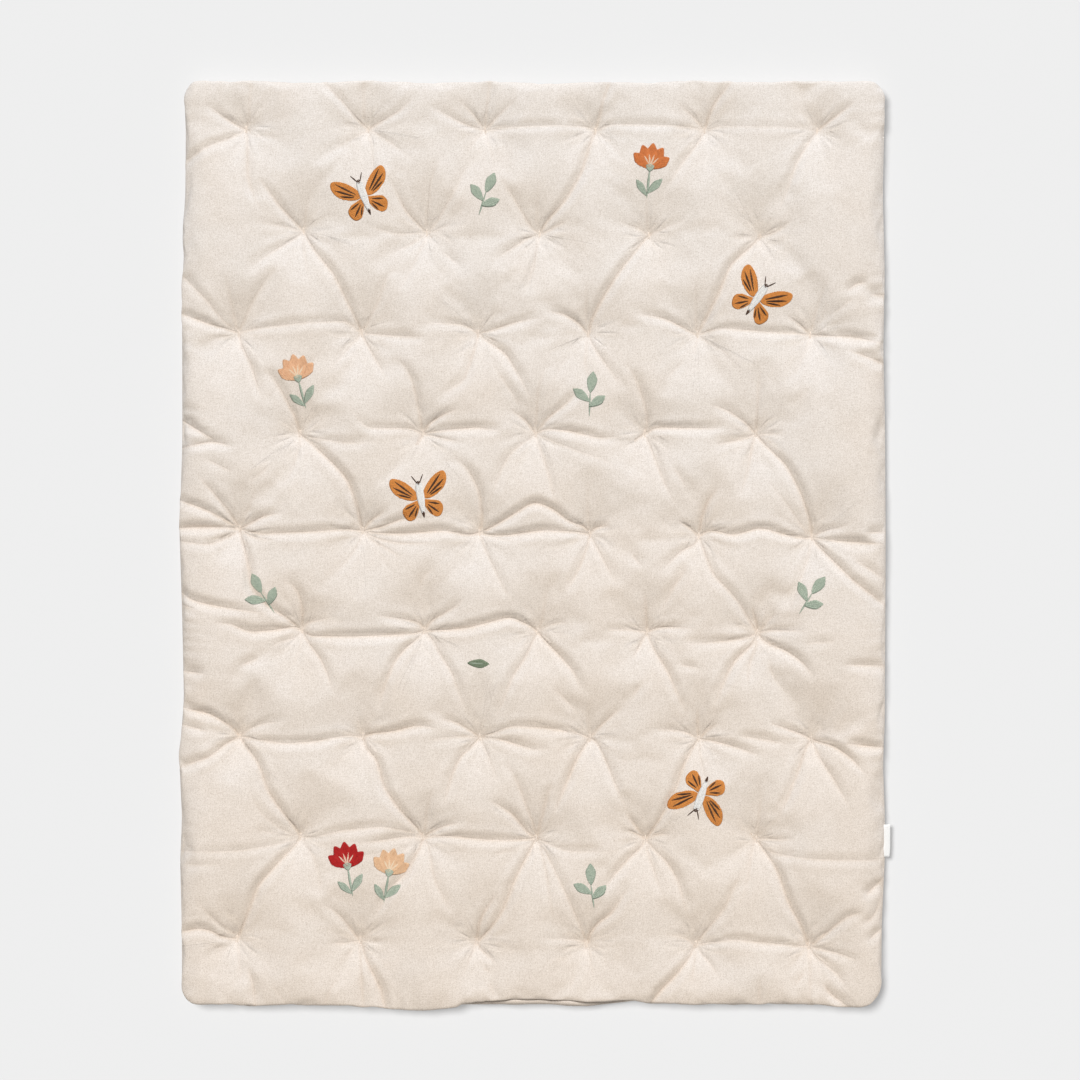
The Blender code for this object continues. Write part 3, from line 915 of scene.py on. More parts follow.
def lumps(places):
    lift = np.zeros(len(places))
    for size, high in LUMPS:
        lift += [high * MM * noise.noise((x / size / MM, y / size / MM, size)) for x, y in places]
    return lift


# %% [markdown]
# Pleats are waves: round a tack they turn with the direction from it, and along the rim they follow
# the distance along the seam. Chance bends them, so that no two places are alike.

# %% Pleats
PLEATS = (7, 11, 17)       # pleats round a tack, in three sizes
PLEAT_DEPTH = 0.6 * MM
PLEAT_REACH = 12 * MM
RIM_PLEAT_DEPTH = 1.2 * MM
RIM_PLEAT_REACH = 13 * MM
RIM_PLEAT_SPACING = 24 * MM
RIM_PLEAT_DRIFT = 60 * MM  # how soon along the rim the spacing changes
RIM_PLEAT_PATCH = 90 * MM  # how soon along the rim the strength changes
RIM_PLEAT_SLANT = 110 * MM


def tack_pleats(places):
    """Fine pleats that radiate from each tack, different at every tack."""
    lift = np.zeros(len(places))
    chance = random.Random(5)
    for tack in tacks:
        out = places - tack
        away = np.hypot(*out.T)
        turn = np.arctan2(out[:, 1], out[:, 0])
        fade = away / PLEAT_REACH * np.exp(1 - away / PLEAT_REACH)
        for count in PLEATS:
            start_turn = chance.uniform(0, 2 * pi)
            bend = chance.uniform(0.3, 0.9)
            size = chance.uniform(0.3, 1.0) * 7 / count
            wave = np.cos(count * (turn + bend * np.sin(turn + start_turn)) + start_turn)
            lift += PLEAT_DEPTH * size * fade * wave
    return lift


def rim_pleats(places):
    """Short pleats that run in from the sewn rim, at uneven distances along it."""
    x, y = ((places - middle) / (HALF_WIDTH, HALF_LENGTH)).T
    inside = np.minimum((1 - abs(x)) * HALF_WIDTH, (1 - abs(y)) * HALF_LENGTH)
    at_side = (1 - abs(x)) * HALF_WIDTH < (1 - abs(y)) * HALF_LENGTH
    along = np.where(at_side, y * HALF_LENGTH, x * HALF_WIDTH)
    side = np.where(at_side, np.sign(x), 3 * np.sign(y))
    shift = np.array([noise.noise((a / RIM_PLEAT_DRIFT, b, 0.5)) for a, b in zip(along, side)])
    strength = np.array([noise.noise((a / RIM_PLEAT_PATCH, b, 7.5)) for a, b in zip(along, side)])
    wave = np.cos(2 * pi * (along / RIM_PLEAT_SPACING + 2.4 * shift + inside / RIM_PLEAT_SLANT))
    fade = np.exp(-np.clip(inside, 0, None) / RIM_PLEAT_REACH)
    return RIM_PLEAT_DEPTH * np.clip(0.25 + 2.2 * strength, 0.0, 1.2) * fade * (wave - 0.4)


# %% [markdown]
# The panel is subdivided once and smoothed, and each corner then moves by the sum of the five effects.
# The rim stays where it is sewn, and beside a tack the cloth may only rise at a slope.

# %% Small relief
TACK_SLOPE = 0.80          # how steeply the cloth may rise from a thread bar
FREE_OF_RIM = 6 * MM       # this far above the seam the relief has its full height
FREE_OF_TACK = 4 * MM      # and this far from a thread bar

bpy.ops.object.select_all(action="DESELECT")
mat.select_set(True)
bpy.context.view_layer.objects.active = mat
bpy.ops.object.mode_set(mode="EDIT")
bpy.ops.mesh.select_all(action="SELECT")
bpy.ops.mesh.subdivide(number_cuts=1, smoothness=0)
bpy.ops.object.mode_set(mode="OBJECT")

shape = bmesh.new()
shape.from_mesh(mat.data)
inner = [vert for vert in shape.verts if not vert.is_boundary]
at_rim = np.array([vert.is_boundary for vert in shape.verts])
bmesh.ops.smooth_vert(
    shape, verts=inner, factor=0.5, use_axis_x=True, use_axis_y=True, use_axis_z=True)
shape.to_mesh(mat.data)
shape.free()

places = np.array([vert.co[:] for vert in mat.data.vertices])
plan = places[:, :2]
off_rim = np.clip((places[:, 2] - SEAM_HEIGHT) / FREE_OF_RIM, 0, 1) * ~at_rim
off_tack = np.clip(tack_distance(plan) / FREE_OF_TACK, 0, 1)
small_relief = creases(plan) + ridges(plan) + lumps(plan) + tack_pleats(plan) + rim_pleats(plan)
places[:, 2] += off_rim * off_tack * small_relief
held_down = TACK_HEIGHT + TACK_SLOPE * tack_distance(plan)
places[:, 2] = np.where(at_rim, places[:, 2], np.minimum(places[:, 2], held_down))
move_corners(mat, places)
mat.data.shade_smooth()
print(len(mat.data.polygons), "cells, up to", round(places[:, 2].max() / MM, 1), "mm")

# %% [markdown]
# ## Back panel
#
# The back panel is the same cut. It lies flat on the floor, turns up to the seam round its edge, and
# each tack lifts it a little into a shallow star. It hardly shows, so its cells stay coarse: only the
# edges of its outline are halved, to meet the finer top panel corner by corner. The two are then
# joined and merged into one closed shell.

# %% Back panel
BACK_RIM = (
    # height of each ring, mm
    10.0, 8.5, 6.2, 3.4, 1.2, 0.3, 0.0,
)
BACK_CLOSING_RIM = (
    # extra way in and extra height (mm) of each ring where the lip curls up
    (9.2, 6.5),
    (7.6, 12.6),
    (4.6, 15.4),
    (1.0, 15.6),
    (-2.2, 12.0),
    (-5.4, 6.0),
    (-8.0, 1.5),
)
BACK_DIMPLE = 3.6 * MM
BACK_DIMPLE_REACH = 9 * MM
BACK_FOLD = 1.3 * MM
BACK_FOLD_WIDTH = 12 * MM
FLAT_RINGS = 7             # cells in from the rim over which the back's relief grows
WELD = 0.02 * MM

back, column, row = grid_panel("back_panel")
ring = np.minimum.reduce([column, row, len(lines_x) - 1 - column, len(lines_y) - 1 - row])
rim_height = np.array(BACK_RIM)[np.minimum(ring, len(BACK_RIM) - 1)] * MM
plan = np.stack(bulged(*round_corner(lines_x[column], lines_y[row])), axis=1) + middle
lifted = BACK_DIMPLE * np.exp(-tack_distance(plan) / BACK_DIMPLE_REACH)
lifted += BACK_FOLD * fold_depth(plan, BACK_FOLD_WIDTH, lambda across: (1 - across) ** 2)
lifted *= np.clip((ring - 1) / FLAT_RINGS, 0, 1)
places = close_by_hand(np.column_stack([plan, rim_height + lifted]), row, BACK_CLOSING_RIM)
move_corners(back, places)

shape = bmesh.new()
shape.from_mesh(back.data)
bmesh.ops.reverse_faces(shape, faces=shape.faces[:])
bmesh.ops.subdivide_edges(shape, edges=[edge for edge in shape.edges if edge.is_boundary], cuts=1)
shape.to_mesh(back.data)
shape.free()
back.data.shade_smooth()

bpy.ops.object.select_all(action="DESELECT")
back.select_set(True)
mat.select_set(True)
bpy.context.view_layer.objects.active = mat
bpy.ops.object.join()
bpy.ops.object.mode_set(mode="EDIT")
bpy.ops.mesh.select_all(action="SELECT")
bpy.ops.mesh.remove_doubles(threshold=WELD)
bpy.ops.object.mode_set(mode="OBJECT")


def open_edges(obj):
    """How many of a mesh's edges don't have exactly two faces: 0 on a closed shell."""
    shape = bmesh.new()
    shape.from_mesh(obj.data)
    count = sum(len(edge.link_faces) != 2 for edge in shape.edges)
    shape.free()
    return count


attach(mat, "root")
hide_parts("mat")
print("mat:", len(mat.data.polygons), "faces,", open_edges(mat), "open edges")

# %% [markdown]
# ## Maps for the finest creases
#
# The sharpest creases and the fine pleats round the tacks are thinner than a cell of the mesh, so
# the finish draws them as bump. It has to know where they are, so maps are kept on the mesh.
# One holds, at each corner of a face, how far to one side of the strongest fold nearby the corner lies,
# and how deep that fold is; the finish also paints shade along the folds with it. The next holds the way
# from the nearest tack. The last says how far the cloth leans to the far end, for painted shade and a
# painted highlight: a slope turned from the lamp is painted a little warmer, as shade that gets its
# light off the cloth beside it, and a slope that faces the lamp a little cooler.

# %% Crease maps
CREASE_SEEN = 12 * MM      # a fold further than this from a face isn't drawn on it
CREASE_FALL = 2.2 * MM     # how fast a crease's depth falls off beside its line
FULL_LEAN = 0.30           # a slope that leans this much towards the far end counts fully
FAR_AWAY = 9.0             # where the line starts for a face that has no fold nearby
BATCHES = 20               # the faces are matched with tacks in parts, to save memory


def crease_map(centres, corners, face_of):
    """Distance to one side of the strongest fold near a corner's face, and the fold's depth there."""
    strongest = np.zeros(len(centres))
    start = np.full((len(centres), 2), FAR_AWAY)
    run = np.tile((1.0, 0.0), (len(centres), 1))
    ends = np.zeros((len(centres), 2))
    for line, depths in fold_lines:
        near, best, _, away = beside_line(centres, line, CREASE_SEEN)
        strength = depths[best] * np.exp(-away / CREASE_FALL)
        better = strength > strongest[near]
        chosen, best = near[better], best[better]
        strongest[chosen] = strength[better]
        start[chosen], run[chosen] = line[best], line[best + 1] - line[best]
        ends[chosen] = np.stack([depths[best], depths[best + 1]], axis=1)
    back = corners - start[face_of]
    run, ends = run[face_of], ends[face_of]
    share = np.clip((back * run).sum(axis=1) / (run**2).sum(axis=1), 0, 1)
    side = (run[:, 0] * back[:, 1] - run[:, 1] * back[:, 0]) / np.hypot(*run.T)
    return np.stack([side, ends[:, 0] * (1 - share) + ends[:, 1] * share], axis=1)


def keep_map(obj, name, values):
    layer = obj.data.uv_layers.new(name=name)
    layer.uv.foreach_set("vector", values.ravel().astype(np.float32))


places = np.array([vert.co[:2] for vert in mat.data.vertices])
face_sizes = [len(face.vertices) for face in mat.data.polygons]
face_of = np.repeat(np.arange(len(face_sizes)), face_sizes)
corner_of = np.array([index for face in mat.data.polygons for index in face.vertices])
corners = places[corner_of]
centres = np.array([face.center[:2] for face in mat.data.polygons])
nearest_tack = np.concatenate([
    np.hypot(*np.moveaxis(part[:, None] - tacks, 2, 0)).argmin(axis=1)
    for part in np.array_split(centres, BATCHES)])
keep_map(mat, "beside fold", crease_map(centres, corners, face_of))
keep_map(mat, "from tack", corners - tacks[nearest_tack][face_of])
# the lean map only places the painted shade and painted highlight in the cotton's colour
lean = np.array([vert.normal.y for vert in mat.data.vertices]) / FULL_LEAN
keep_map(mat, "lean", np.stack([np.clip(0.5 + 0.5 * lean, 0, 1)[corner_of]] * 2, axis=1))
print("maps:", [layer.name for layer in mat.data.uv_layers])

# %% [markdown]
# ## Helpers for the finishes
#
# A finish here is a Principled shader fed by textures. What more than one finish needs, such as the
# weave, is a node group: a small tree with named inputs and outputs, built once and placed in each
# material with its own values. Two helpers keep the cells short: one adds a node with its settings
# and links, the other starts a group with its sockets.

# %% Node helpers
def add_node(tree, kind, inputs=(), **settings):
    """Adds a shader node. inputs pairs socket names or numbers with values or other nodes' outputs."""
    node = tree.nodes.new("ShaderNode" + kind)
    for name, value in settings.items():
        setattr(node, name, value)
    for key, value in dict(inputs).items():
        if isinstance(value, bpy.types.NodeSocket):
            tree.links.new(value, node.inputs[key])
        else:
            node.inputs[key].default_value = value
    return node


def sums(tree, operation, *values):
    """A Math node's output."""
    return add_node(tree, "Math", dict(enumerate(values)), operation=operation).outputs[0]


def start_group(name, inputs, outputs):
    """A node group with its named sockets: the tree, its inputs and its output node."""
    tree = bpy.data.node_groups.new(name, "ShaderNodeTree")
    for socket, kind in inputs:
        tree.interface.new_socket(name=socket, in_out="INPUT", socket_type="NodeSocket" + kind)
    for socket, kind in outputs:
        tree.interface.new_socket(name=socket, in_out="OUTPUT", socket_type="NodeSocket" + kind)
    return tree, tree.nodes.new("NodeGroupInput").outputs, tree.nodes.new("NodeGroupOutput")


def place_group(tree, group, **inputs):
    """Places a group in a material's tree. An underscore in an input's name stands for a space."""
    node = tree.nodes.new("ShaderNodeGroup")
    node.node_tree = group
    for name, value in inputs.items():
        socket = node.inputs[name.replace("_", " ")]
        if isinstance(value, bpy.types.NodeSocket):
            tree.links.new(value, socket)
        else:
            socket.default_value = value
    return node.outputs


# %% [markdown]
# ## Woven cloth
#
# Plain weave passes each thread over one and under the next. Along the cut cloth's own map, which is
# in metres, two sine waves count the threads, and the sign of their product says which thread is on
# top. Natural yarn is uneven, so long thin patches of noise along both directions stand for thick
# and thin places (slubs), and fine noise for the mottled tone of single threads. Each crossing of
# two threads also gets a tone of its own. The group puts out a height for the bump and a tone for
# the colour.

# %% Woven cloth group
SLUB_LONG = 9 * MM
SLUB_THIN = 1.2 * MM
MOTTLE = 1.3 * MM          # size of the mottles
MOTTLE_SHARE = 0.62        # how much of the tone is mottle, the rest being slubs
THREAD_ROUNDNESS = 0.35    # below 1, a thread keeps its height until close to its ends
CROSSING_TONE = 0.75       # how much each crossing of two threads has a tone of its own

woven_cloth, given, result = start_group(
    "woven cloth",
    [("Place", "Vector"), ("Thread Spacing", "Float")],
    [("Height", "Float"), ("Tone", "Float")])
tree = woven_cloth
counted = add_node(tree, "VectorMath", {0: given["Place"]}, operation="DIVIDE")
spacing = add_node(
    tree, "CombineXYZ", {"X": given["Thread Spacing"], "Y": given["Thread Spacing"], "Z": 1.0})
tree.links.new(spacing.outputs[0], counted.inputs[1])
threads = add_node(tree, "SeparateXYZ", {0: counted.outputs[0]})
wave_x, wave_y = (
    sums(tree, "SINE", sums(tree, "MULTIPLY", threads.outputs[axis], pi)) for axis in ("X", "Y"))
on_top = sums(tree, "GREATER_THAN", sums(tree, "MULTIPLY", wave_x, wave_y), 0.0)
arch_x, arch_y = (sums(tree, "ABSOLUTE", wave) for wave in (wave_x, wave_y))
flat_x, flat_y = (sums(tree, "POWER", arch, THREAD_ROUNDNESS) for arch in (arch_x, arch_y))
warp = sums(tree, "MULTIPLY", arch_x, flat_y)
weft = sums(tree, "MULTIPLY", arch_y, flat_x)
weave = add_node(tree, "Mix", {"Factor": on_top, "A": weft, "B": warp}).outputs["Result"]
slubs = []
for scale in ((1 / SLUB_LONG, 1 / SLUB_THIN, 1), (1 / SLUB_THIN, 1 / SLUB_LONG, 1)):
    stretched = add_node(tree, "VectorMath", {0: given["Place"], 1: scale}, operation="MULTIPLY")
    streaks = add_node(
        tree, "TexNoise", {"Vector": stretched.outputs[0], "Scale": 1.0, "Detail": 1.0},
        noise_dimensions="2D")
    slubs.append(streaks.outputs["Fac"])
slub = sums(tree, "MULTIPLY", sums(tree, "ADD", *slubs), 0.5)
mottle = add_node(
    tree, "TexNoise", {"Vector": given["Place"], "Scale": 1 / MOTTLE, "Detail": 2.0, "Roughness": 0.7},
    noise_dimensions="2D").outputs["Fac"]
tone = add_node(tree, "Mix", {"Factor": MOTTLE_SHARE, "A": slub, "B": mottle}).outputs["Result"]
tone = add_node(
    tree, "MapRange", {"Value": tone, "From Min": 0.29, "From Max": 0.71}).outputs["Result"]
crossing = add_node(tree, "VectorMath", {0: counted.outputs[0]}, operation="FLOOR").outputs[0]
own_tone = add_node(tree, "TexWhiteNoise", {"Vector": crossing}, noise_dimensions="2D").outputs["Value"]
own_tone = sums(tree, "MULTIPLY", sums(tree, "SUBTRACT", own_tone, 0.5), CROSSING_TONE)
tree.links.new(sums(tree, "ADD", tone, own_tone), result.inputs["Tone"])
uneven = sums(tree, "MULTIPLY", tone, 0.75)
tree.links.new(sums(tree, "MULTIPLY_ADD", weave, 0.5, uneven), result.inputs["Height"])
print("woven cloth:", len(tree.nodes), "nodes")

# %% [markdown]
# ## Natural cotton
#
# The mat's cloth is undyed cotton: a pale warm grey with a little pink and cream in it, matt and
# slightly fuzzy. Some helpers come first: one mixes two colours, one multiplies a colour by a tint,
# and the others make soft steps and thin lines out of other values.

# %% Colour and line helpers
COLOR_A, COLOR_B, MIXED = 6, 7, 2   # a Mix node's sockets for colours


def color_mix(tree, factor, color_a, color_b):
    """Mixes two colours, given as three numbers or as another node's output."""
    a, b = (
        value if isinstance(value, bpy.types.NodeSocket) else (*value, 1)
        for value in (color_a, color_b))
    mix = {"Factor": factor, COLOR_A: a, COLOR_B: b}
    return add_node(tree, "Mix", mix, data_type="RGBA").outputs[MIXED]


def tinted(tree, color, tint, share):
    """A colour multiplied by a tint, as far as the share says."""
    tint = tint if isinstance(tint, bpy.types.NodeSocket) else (*tint, 1)
    mix = {"Factor": share, COLOR_A: color, COLOR_B: tint}
    node = add_node(tree, "Mix", mix, data_type="RGBA", blend_type="MULTIPLY")
    return node.outputs[MIXED]


def map_parts(tree, name):
    """The two numbers that a map keeps at each place of the mesh."""
    return add_node(tree, "SeparateXYZ", {0: add_node(tree, "UVMap", uv_map=name).outputs["UV"]}).outputs


def bump_into(tree, shader, height, depth):
    bump = add_node(tree, "Bump", {"Height": height, "Strength": 1.0, "Distance": depth})
    tree.links.new(bump.outputs["Normal"], shader.inputs["Normal"])


def smooth_step(tree, value, low, high):
    """Rises softly from 0 where a value is at its low end to 1 at its high end."""
    step = {"Value": value, "From Min": low, "From Max": high}
    return add_node(tree, "MapRange", step, interpolation_type="SMOOTHSTEP").outputs["Result"]


def thin_lines(tree, pattern, width):
    """1 on the thin lines where a noise passes its middle value, 0 away from them."""
    off = sums(tree, "ABSOLUTE", sums(tree, "SUBTRACT", pattern, 0.5))
    return smooth_step(tree, off, width, 0.0)


# %% [markdown]
# Three heights are too fine for the mesh: the crisp bottom of each fold, read from the map beside the
# fold, the pleats that radiate from each tack, and the gathers along the seam. The last two are the
# thin lines where a noise passes its middle value, stretched away from the tack or the seam.

# %% Height of the finest folds
CREASE_LINE = 1.0 * MM     # extra depth of the crease in the deepest folds
STAR_PLEATS = 1.5          # how closely the fine pleats stand round a tack
STAR_DEPTH = 0.85 * MM
STAR_REACH = 48 * MM
STAR_START = (3 * MM, 20 * MM)   # where a pleat starts to show, and where it shows fully
STAR_FADE = 12 * MM        # from here it fades towards its end
STAR_LINE = 0.15           # how wide a pleat is in its noise
STAR_CHANGE = 41           # how much the noise changes from tack to tack
GATHER_SPACING = 16 * MM
GATHER_DEPTH = 0.35 * MM
GATHER_REACH = 16 * MM
GATHER_BEND = 60 * MM
GATHER_LINE = 0.16


def crease_height(tree):
    """The crisp bottom of each fold."""
    beside = map_parts(tree, "beside fold")
    off = sums(tree, "DIVIDE", sums(tree, "ABSOLUTE", beside["X"]), -CREASE_FALL)
    fall = sums(tree, "EXPONENT", off)
    return sums(tree, "MULTIPLY", sums(tree, "MULTIPLY", fall, beside["Y"]), -CREASE_LINE)


def star_height(tree, place):
    """Fine pleats that radiate from each tack, different at every one."""
    out = add_node(tree, "UVMap", uv_map="from tack").outputs["UV"]
    away = add_node(tree, "VectorMath", {0: out}, operation="LENGTH").outputs["Value"]
    way = add_node(tree, "VectorMath", {0: out}, operation="NORMALIZE").outputs[0]
    tack_place = add_node(tree, "VectorMath", {0: place, 1: out}, operation="SUBTRACT").outputs[0]
    change = (STAR_CHANGE, STAR_CHANGE, 0)
    seed = add_node(tree, "VectorMath", {0: tack_place, 1: change}, operation="MULTIPLY").outputs[0]
    round_tack = {0: way, 1: (STAR_PLEATS, STAR_PLEATS, 0), 2: seed}
    turned = add_node(tree, "VectorMath", round_tack, operation="MULTIPLY_ADD").outputs[0]
    outwards = add_node(tree, "CombineXYZ", {"Z": sums(tree, "DIVIDE", away, STAR_REACH)}).outputs[0]
    vector = add_node(tree, "VectorMath", {0: turned, 1: outwards}, operation="ADD").outputs[0]
    pattern = add_node(tree, "TexNoise", {"Vector": vector, "Scale": 1.0, "Detail": 1.0}).outputs["Fac"]
    length = add_node(tree, "TexNoise", {"Vector": turned, "Scale": 1.6, "Detail": 0.0}).outputs["Fac"]
    ends_at = sums(tree, "MULTIPLY_ADD", length, 1.7 * STAR_REACH, -0.15 * STAR_REACH)
    fade = smooth_step(tree, away, ends_at, STAR_FADE)
    start = smooth_step(tree, away, *STAR_START)
    size = sums(tree, "MULTIPLY", fade, start)
    pleats = sums(tree, "MULTIPLY", thin_lines(tree, pattern, STAR_LINE), size)
    return sums(tree, "MULTIPLY", pleats, -STAR_DEPTH)


def gather_height(tree, cut_place):
    """Fine gathers that run in from the seam on all four sides."""
    parts = add_node(tree, "SeparateXYZ", {0: cut_place})
    heights = []
    half_x, half_y = (cut_length(lines)[-1] for lines in (lines_x, lines_y))
    for across, along, half in (("X", "Y", half_x), ("Y", "X", half_y)):
        inside = sums(tree, "SUBTRACT", half, sums(tree, "ABSOLUTE", parts.outputs[across]))
        side = sums(tree, "MULTIPLY", sums(tree, "SIGN", parts.outputs[across]), 7.0)
        spot = sums(tree, "DIVIDE", parts.outputs[along], GATHER_SPACING)
        bent = sums(tree, "DIVIDE", inside, GATHER_BEND)
        vector = add_node(tree, "CombineXYZ", {"X": spot, "Y": side, "Z": bent}).outputs[0]
        lines = add_node(tree, "TexNoise", {"Vector": vector, "Scale": 1.0, "Detail": 1.0})
        fall = sums(tree, "EXPONENT", sums(tree, "DIVIDE", inside, -GATHER_REACH))
        gathers = thin_lines(tree, lines.outputs["Fac"], GATHER_LINE)
        heights.append(sums(tree, "MULTIPLY", gathers, fall))
    return sums(tree, "MULTIPLY", sums(tree, "MAXIMUM", *heights), -GATHER_DEPTH)


# %% [markdown]
# The cotton's colour starts from two close tones that follow the yarn. It turns a little creamier in
# soft patches. Painted shade makes it darker and creamier towards the near end, away from the far lamp,
# and darker and warmer in the creases and on slopes that lean to the near end; a painted highlight makes
# it cooler on slopes that lean to the far end. Bits of seed husk left in the yarn make small brown
# flecks. The bump carries the weave and the finest folds, and a constant sheen stands for the fuzz.

# %% Natural cotton
COTTON_LIGHT = (0.945, 0.876, 0.814)
COTTON_DARK = (0.709, 0.642, 0.576)
# tint of the creamy patches, also used for the painted shade towards the near end
CREAM_AND_SHADE_TINT = (0.964, 0.923, 0.877)
CREAM_PATCH = 60 * MM
# painted shade and painted highlight: slopes that lean to the near end are drawn warmer and darker,
# slopes that lean to the far end cooler and lighter
NEAR_SLOPE_SHADE = (1.012, 0.988, 0.952)   # slopes that lean to the near end and to the far end
FAR_SLOPE_HIGHLIGHT = (0.988, 1.012, 1.048)
# painted shade: the cloth is drawn darker and warmer along the bottom line of each fold
CREASE_SHADE_TINT = (0.960, 0.927, 0.895)
CREASE_SHADE_REACH = 3.4 * MM
FLECK = (0.36, 0.26, 0.18)
FLECK_CELL = 5 * MM
FLECK_CHANCE = 0.55
WEAVE_SPACING = 0.6 * MM
WEAVE_DEPTH = 0.09 * MM
FLECK_SIZE = (0.06, 0.065)      # smallest size of a fleck and how much chance adds, in cells
FLECK_STRENGTH = (0.20, 0.65)   # weakest fleck and how much chance adds
# painted shade: the cotton is drawn darker and creamier towards the near end, away from the far lamp
NEAR_END_SHADE = (-0.45, 0.55)      # how much creamier the far end and the near end are

natural_cotton, shader = plain_material("natural_cotton", COTTON_LIGHT, 0.92)
shader.inputs["Specular IOR Level"].default_value = 0.2
shader.inputs["Sheen Weight"].default_value = 0.12
shader.inputs["Sheen Roughness"].default_value = 0.5
tree = natural_cotton.node_tree
cut_place = add_node(tree, "UVMap", uv_map="cut cloth").outputs["UV"]
cloth = place_group(tree, woven_cloth, Place=cut_place, Thread_Spacing=WEAVE_SPACING)
place = add_node(tree, "TexCoord").outputs["Object"]
drift = add_node(
    tree, "TexNoise", {"Vector": place, "Scale": 1 / CREAM_PATCH, "Detail": 1.0}).outputs["Fac"]
along_mat = add_node(tree, "SeparateXYZ", {0: place}).outputs["Y"]
painted_near_end_shade = add_node(
    tree, "MapRange",
    {"Value": along_mat, "From Min": HALF_LENGTH, "From Max": -HALF_LENGTH,
     "To Min": NEAR_END_SHADE[0], "To Max": NEAR_END_SHADE[1]}).outputs["Result"]
cream_and_painted_shade = add_node(
    tree, "Math", {0: drift, 1: painted_near_end_shade}, operation="ADD", use_clamp=True).outputs[0]
color = color_mix(tree, cloth["Tone"], COTTON_DARK, COTTON_LIGHT)
# creamy patches of the cotton, plus painted shade that darkens it towards the near end
color = tinted(tree, color, CREAM_AND_SHADE_TINT, cream_and_painted_shade)
# painted shade along the bottom line of each fold, where the cloth is drawn darker and warmer
beside_fold = map_parts(tree, "beside fold")
off_line = sums(tree, "ABSOLUTE", beside_fold["X"])
near_line = smooth_step(tree, off_line, CREASE_SHADE_REACH, 0.0)
painted_crease_shade = sums(tree, "MULTIPLY", near_line, beside_fold["Y"])
color = tinted(tree, color, CREASE_SHADE_TINT, sums(tree, "MINIMUM", painted_crease_shade, 1.0))
# painted shade on slopes that lean to the near end, painted highlight on slopes that lean to the far end
painted_slope_light = color_mix(tree, map_parts(tree, "lean")["X"], NEAR_SLOPE_SHADE, FAR_SLOPE_HIGHLIGHT)
color = tinted(tree, color, painted_slope_light, 1.0)
fleck = add_node(
    tree, "TexVoronoi", {"Vector": cut_place, "Scale": 1 / FLECK_CELL}, voronoi_dimensions="2D")
chance = add_node(tree, "SeparateColor", {0: fleck.outputs["Color"]})
is_there = sums(tree, "LESS_THAN", chance.outputs["Red"], FLECK_CHANCE)
reach = sums(tree, "MULTIPLY_ADD", chance.outputs["Green"], FLECK_SIZE[1], FLECK_SIZE[0])
strength = sums(tree, "MULTIPLY_ADD", chance.outputs["Blue"], FLECK_STRENGTH[1], FLECK_STRENGTH[0])
spot = add_node(
    tree, "MapRange",
    {"Value": fleck.outputs["Distance"], "From Min": reach, "From Max": 0.0, "To Max": strength})
color = color_mix(tree, sums(tree, "MULTIPLY", spot.outputs["Result"], is_there), color, FLECK)
tree.links.new(color, shader.inputs["Base Color"])
height = sums(tree, "MULTIPLY", cloth["Height"], WEAVE_DEPTH)
for part in (crease_height(tree), star_height(tree, place), gather_height(tree, cut_place)):
    height = sums(tree, "ADD", height, part)
bump_into(tree, shader, height, 1.0)
mat.data.materials.clear()
mat.data.materials.append(natural_cotton)
print("natural cotton:", len(tree.nodes), "nodes")

# %% [markdown]
# ## Sewing thread
#
# All threads here, in the tacks and the embroidery, are two-ply yarn: the plies wind round each other,
# which shows as slanting lines along the thread. The group reads each thread's own map, with metres
# along it and one turn round it, and puts out the plies' height and a tone that changes from stitch
# to stitch.

# %% Twisted thread group
PLY_LENGTH = 1.3 * MM      # one turn of the plies
TONE_CHANGES = 260         # how often the tone changes, per metre of thread
PLY_DEPTH = 0.05 * MM

twisted_thread, given, result = start_group(
    "twisted thread", [("Place", "Vector")], [("Height", "Float"), ("Tone", "Float")])
tree = twisted_thread
parts = add_node(tree, "SeparateXYZ", {0: given["Place"]})
winding = sums(tree, "ADD", sums(tree, "DIVIDE", parts.outputs["X"], PLY_LENGTH), parts.outputs["Y"])
ply = sums(tree, "ABSOLUTE", sums(tree, "SINE", sums(tree, "MULTIPLY", winding, pi)))
along = add_node(tree, "CombineXYZ", {"X": parts.outputs["X"]})
tone = add_node(
    tree, "TexNoise", {"Vector": along.outputs[0], "Scale": TONE_CHANGES, "Detail": 2.0}).outputs["Fac"]
tone = add_node(tree, "MapRange", {"Value": tone, "From Min": 0.36, "From Max": 0.64}).outputs["Result"]
tree.links.new(ply, result.inputs["Height"])
tree.links.new(tone, result.inputs["Tone"])


def thread_material(name, light, dark, roughness):
    """A thread's finish, between its light and its dark tone."""
    material, shader = plain_material(name, light, roughness)
    shader.inputs["Specular IOR Level"].default_value = 0.25
    shader.inputs["Sheen Weight"].default_value = 0.05
    tree = material.node_tree
    thread_place = add_node(tree, "UVMap", uv_map="thread").outputs["UV"]
    thread = place_group(tree, twisted_thread, Place=thread_place)
    tree.links.new(color_mix(tree, thread["Tone"], dark, light), shader.inputs["Base Color"])
    bump_into(tree, shader, thread["Height"], PLY_DEPTH)
    return material


# %% [markdown]
# ## Thread tacks
#
# At each tack a short bar of three stitches goes through the whole mat and holds top and back
# together. One stitch is a thin six-sided rod, extruded step by step over a low arch whose ends dive
# into the cloth.

# %% One stitch
THREAD = 0.62 * MM
STITCH_ARCH = (
    # along Y, height above the cloth (mm)
    (-4.6, -0.9),
    (-3.9, 0.15),
    (-2.0, 0.42),
    (0.0, 0.48),
    (2.0, 0.42),
    (3.9, 0.15),
    (4.6, -0.9),
)
top_side = BVHTree.FromObject(mat, bpy.context.evaluated_depsgraph_get())


def cloth_height(x, y):
    """Height of the mat's upper face at a place."""
    return top_side.ray_cast(Vector((x, y, 0.1)), Vector((0, 0, -1)))[0].z


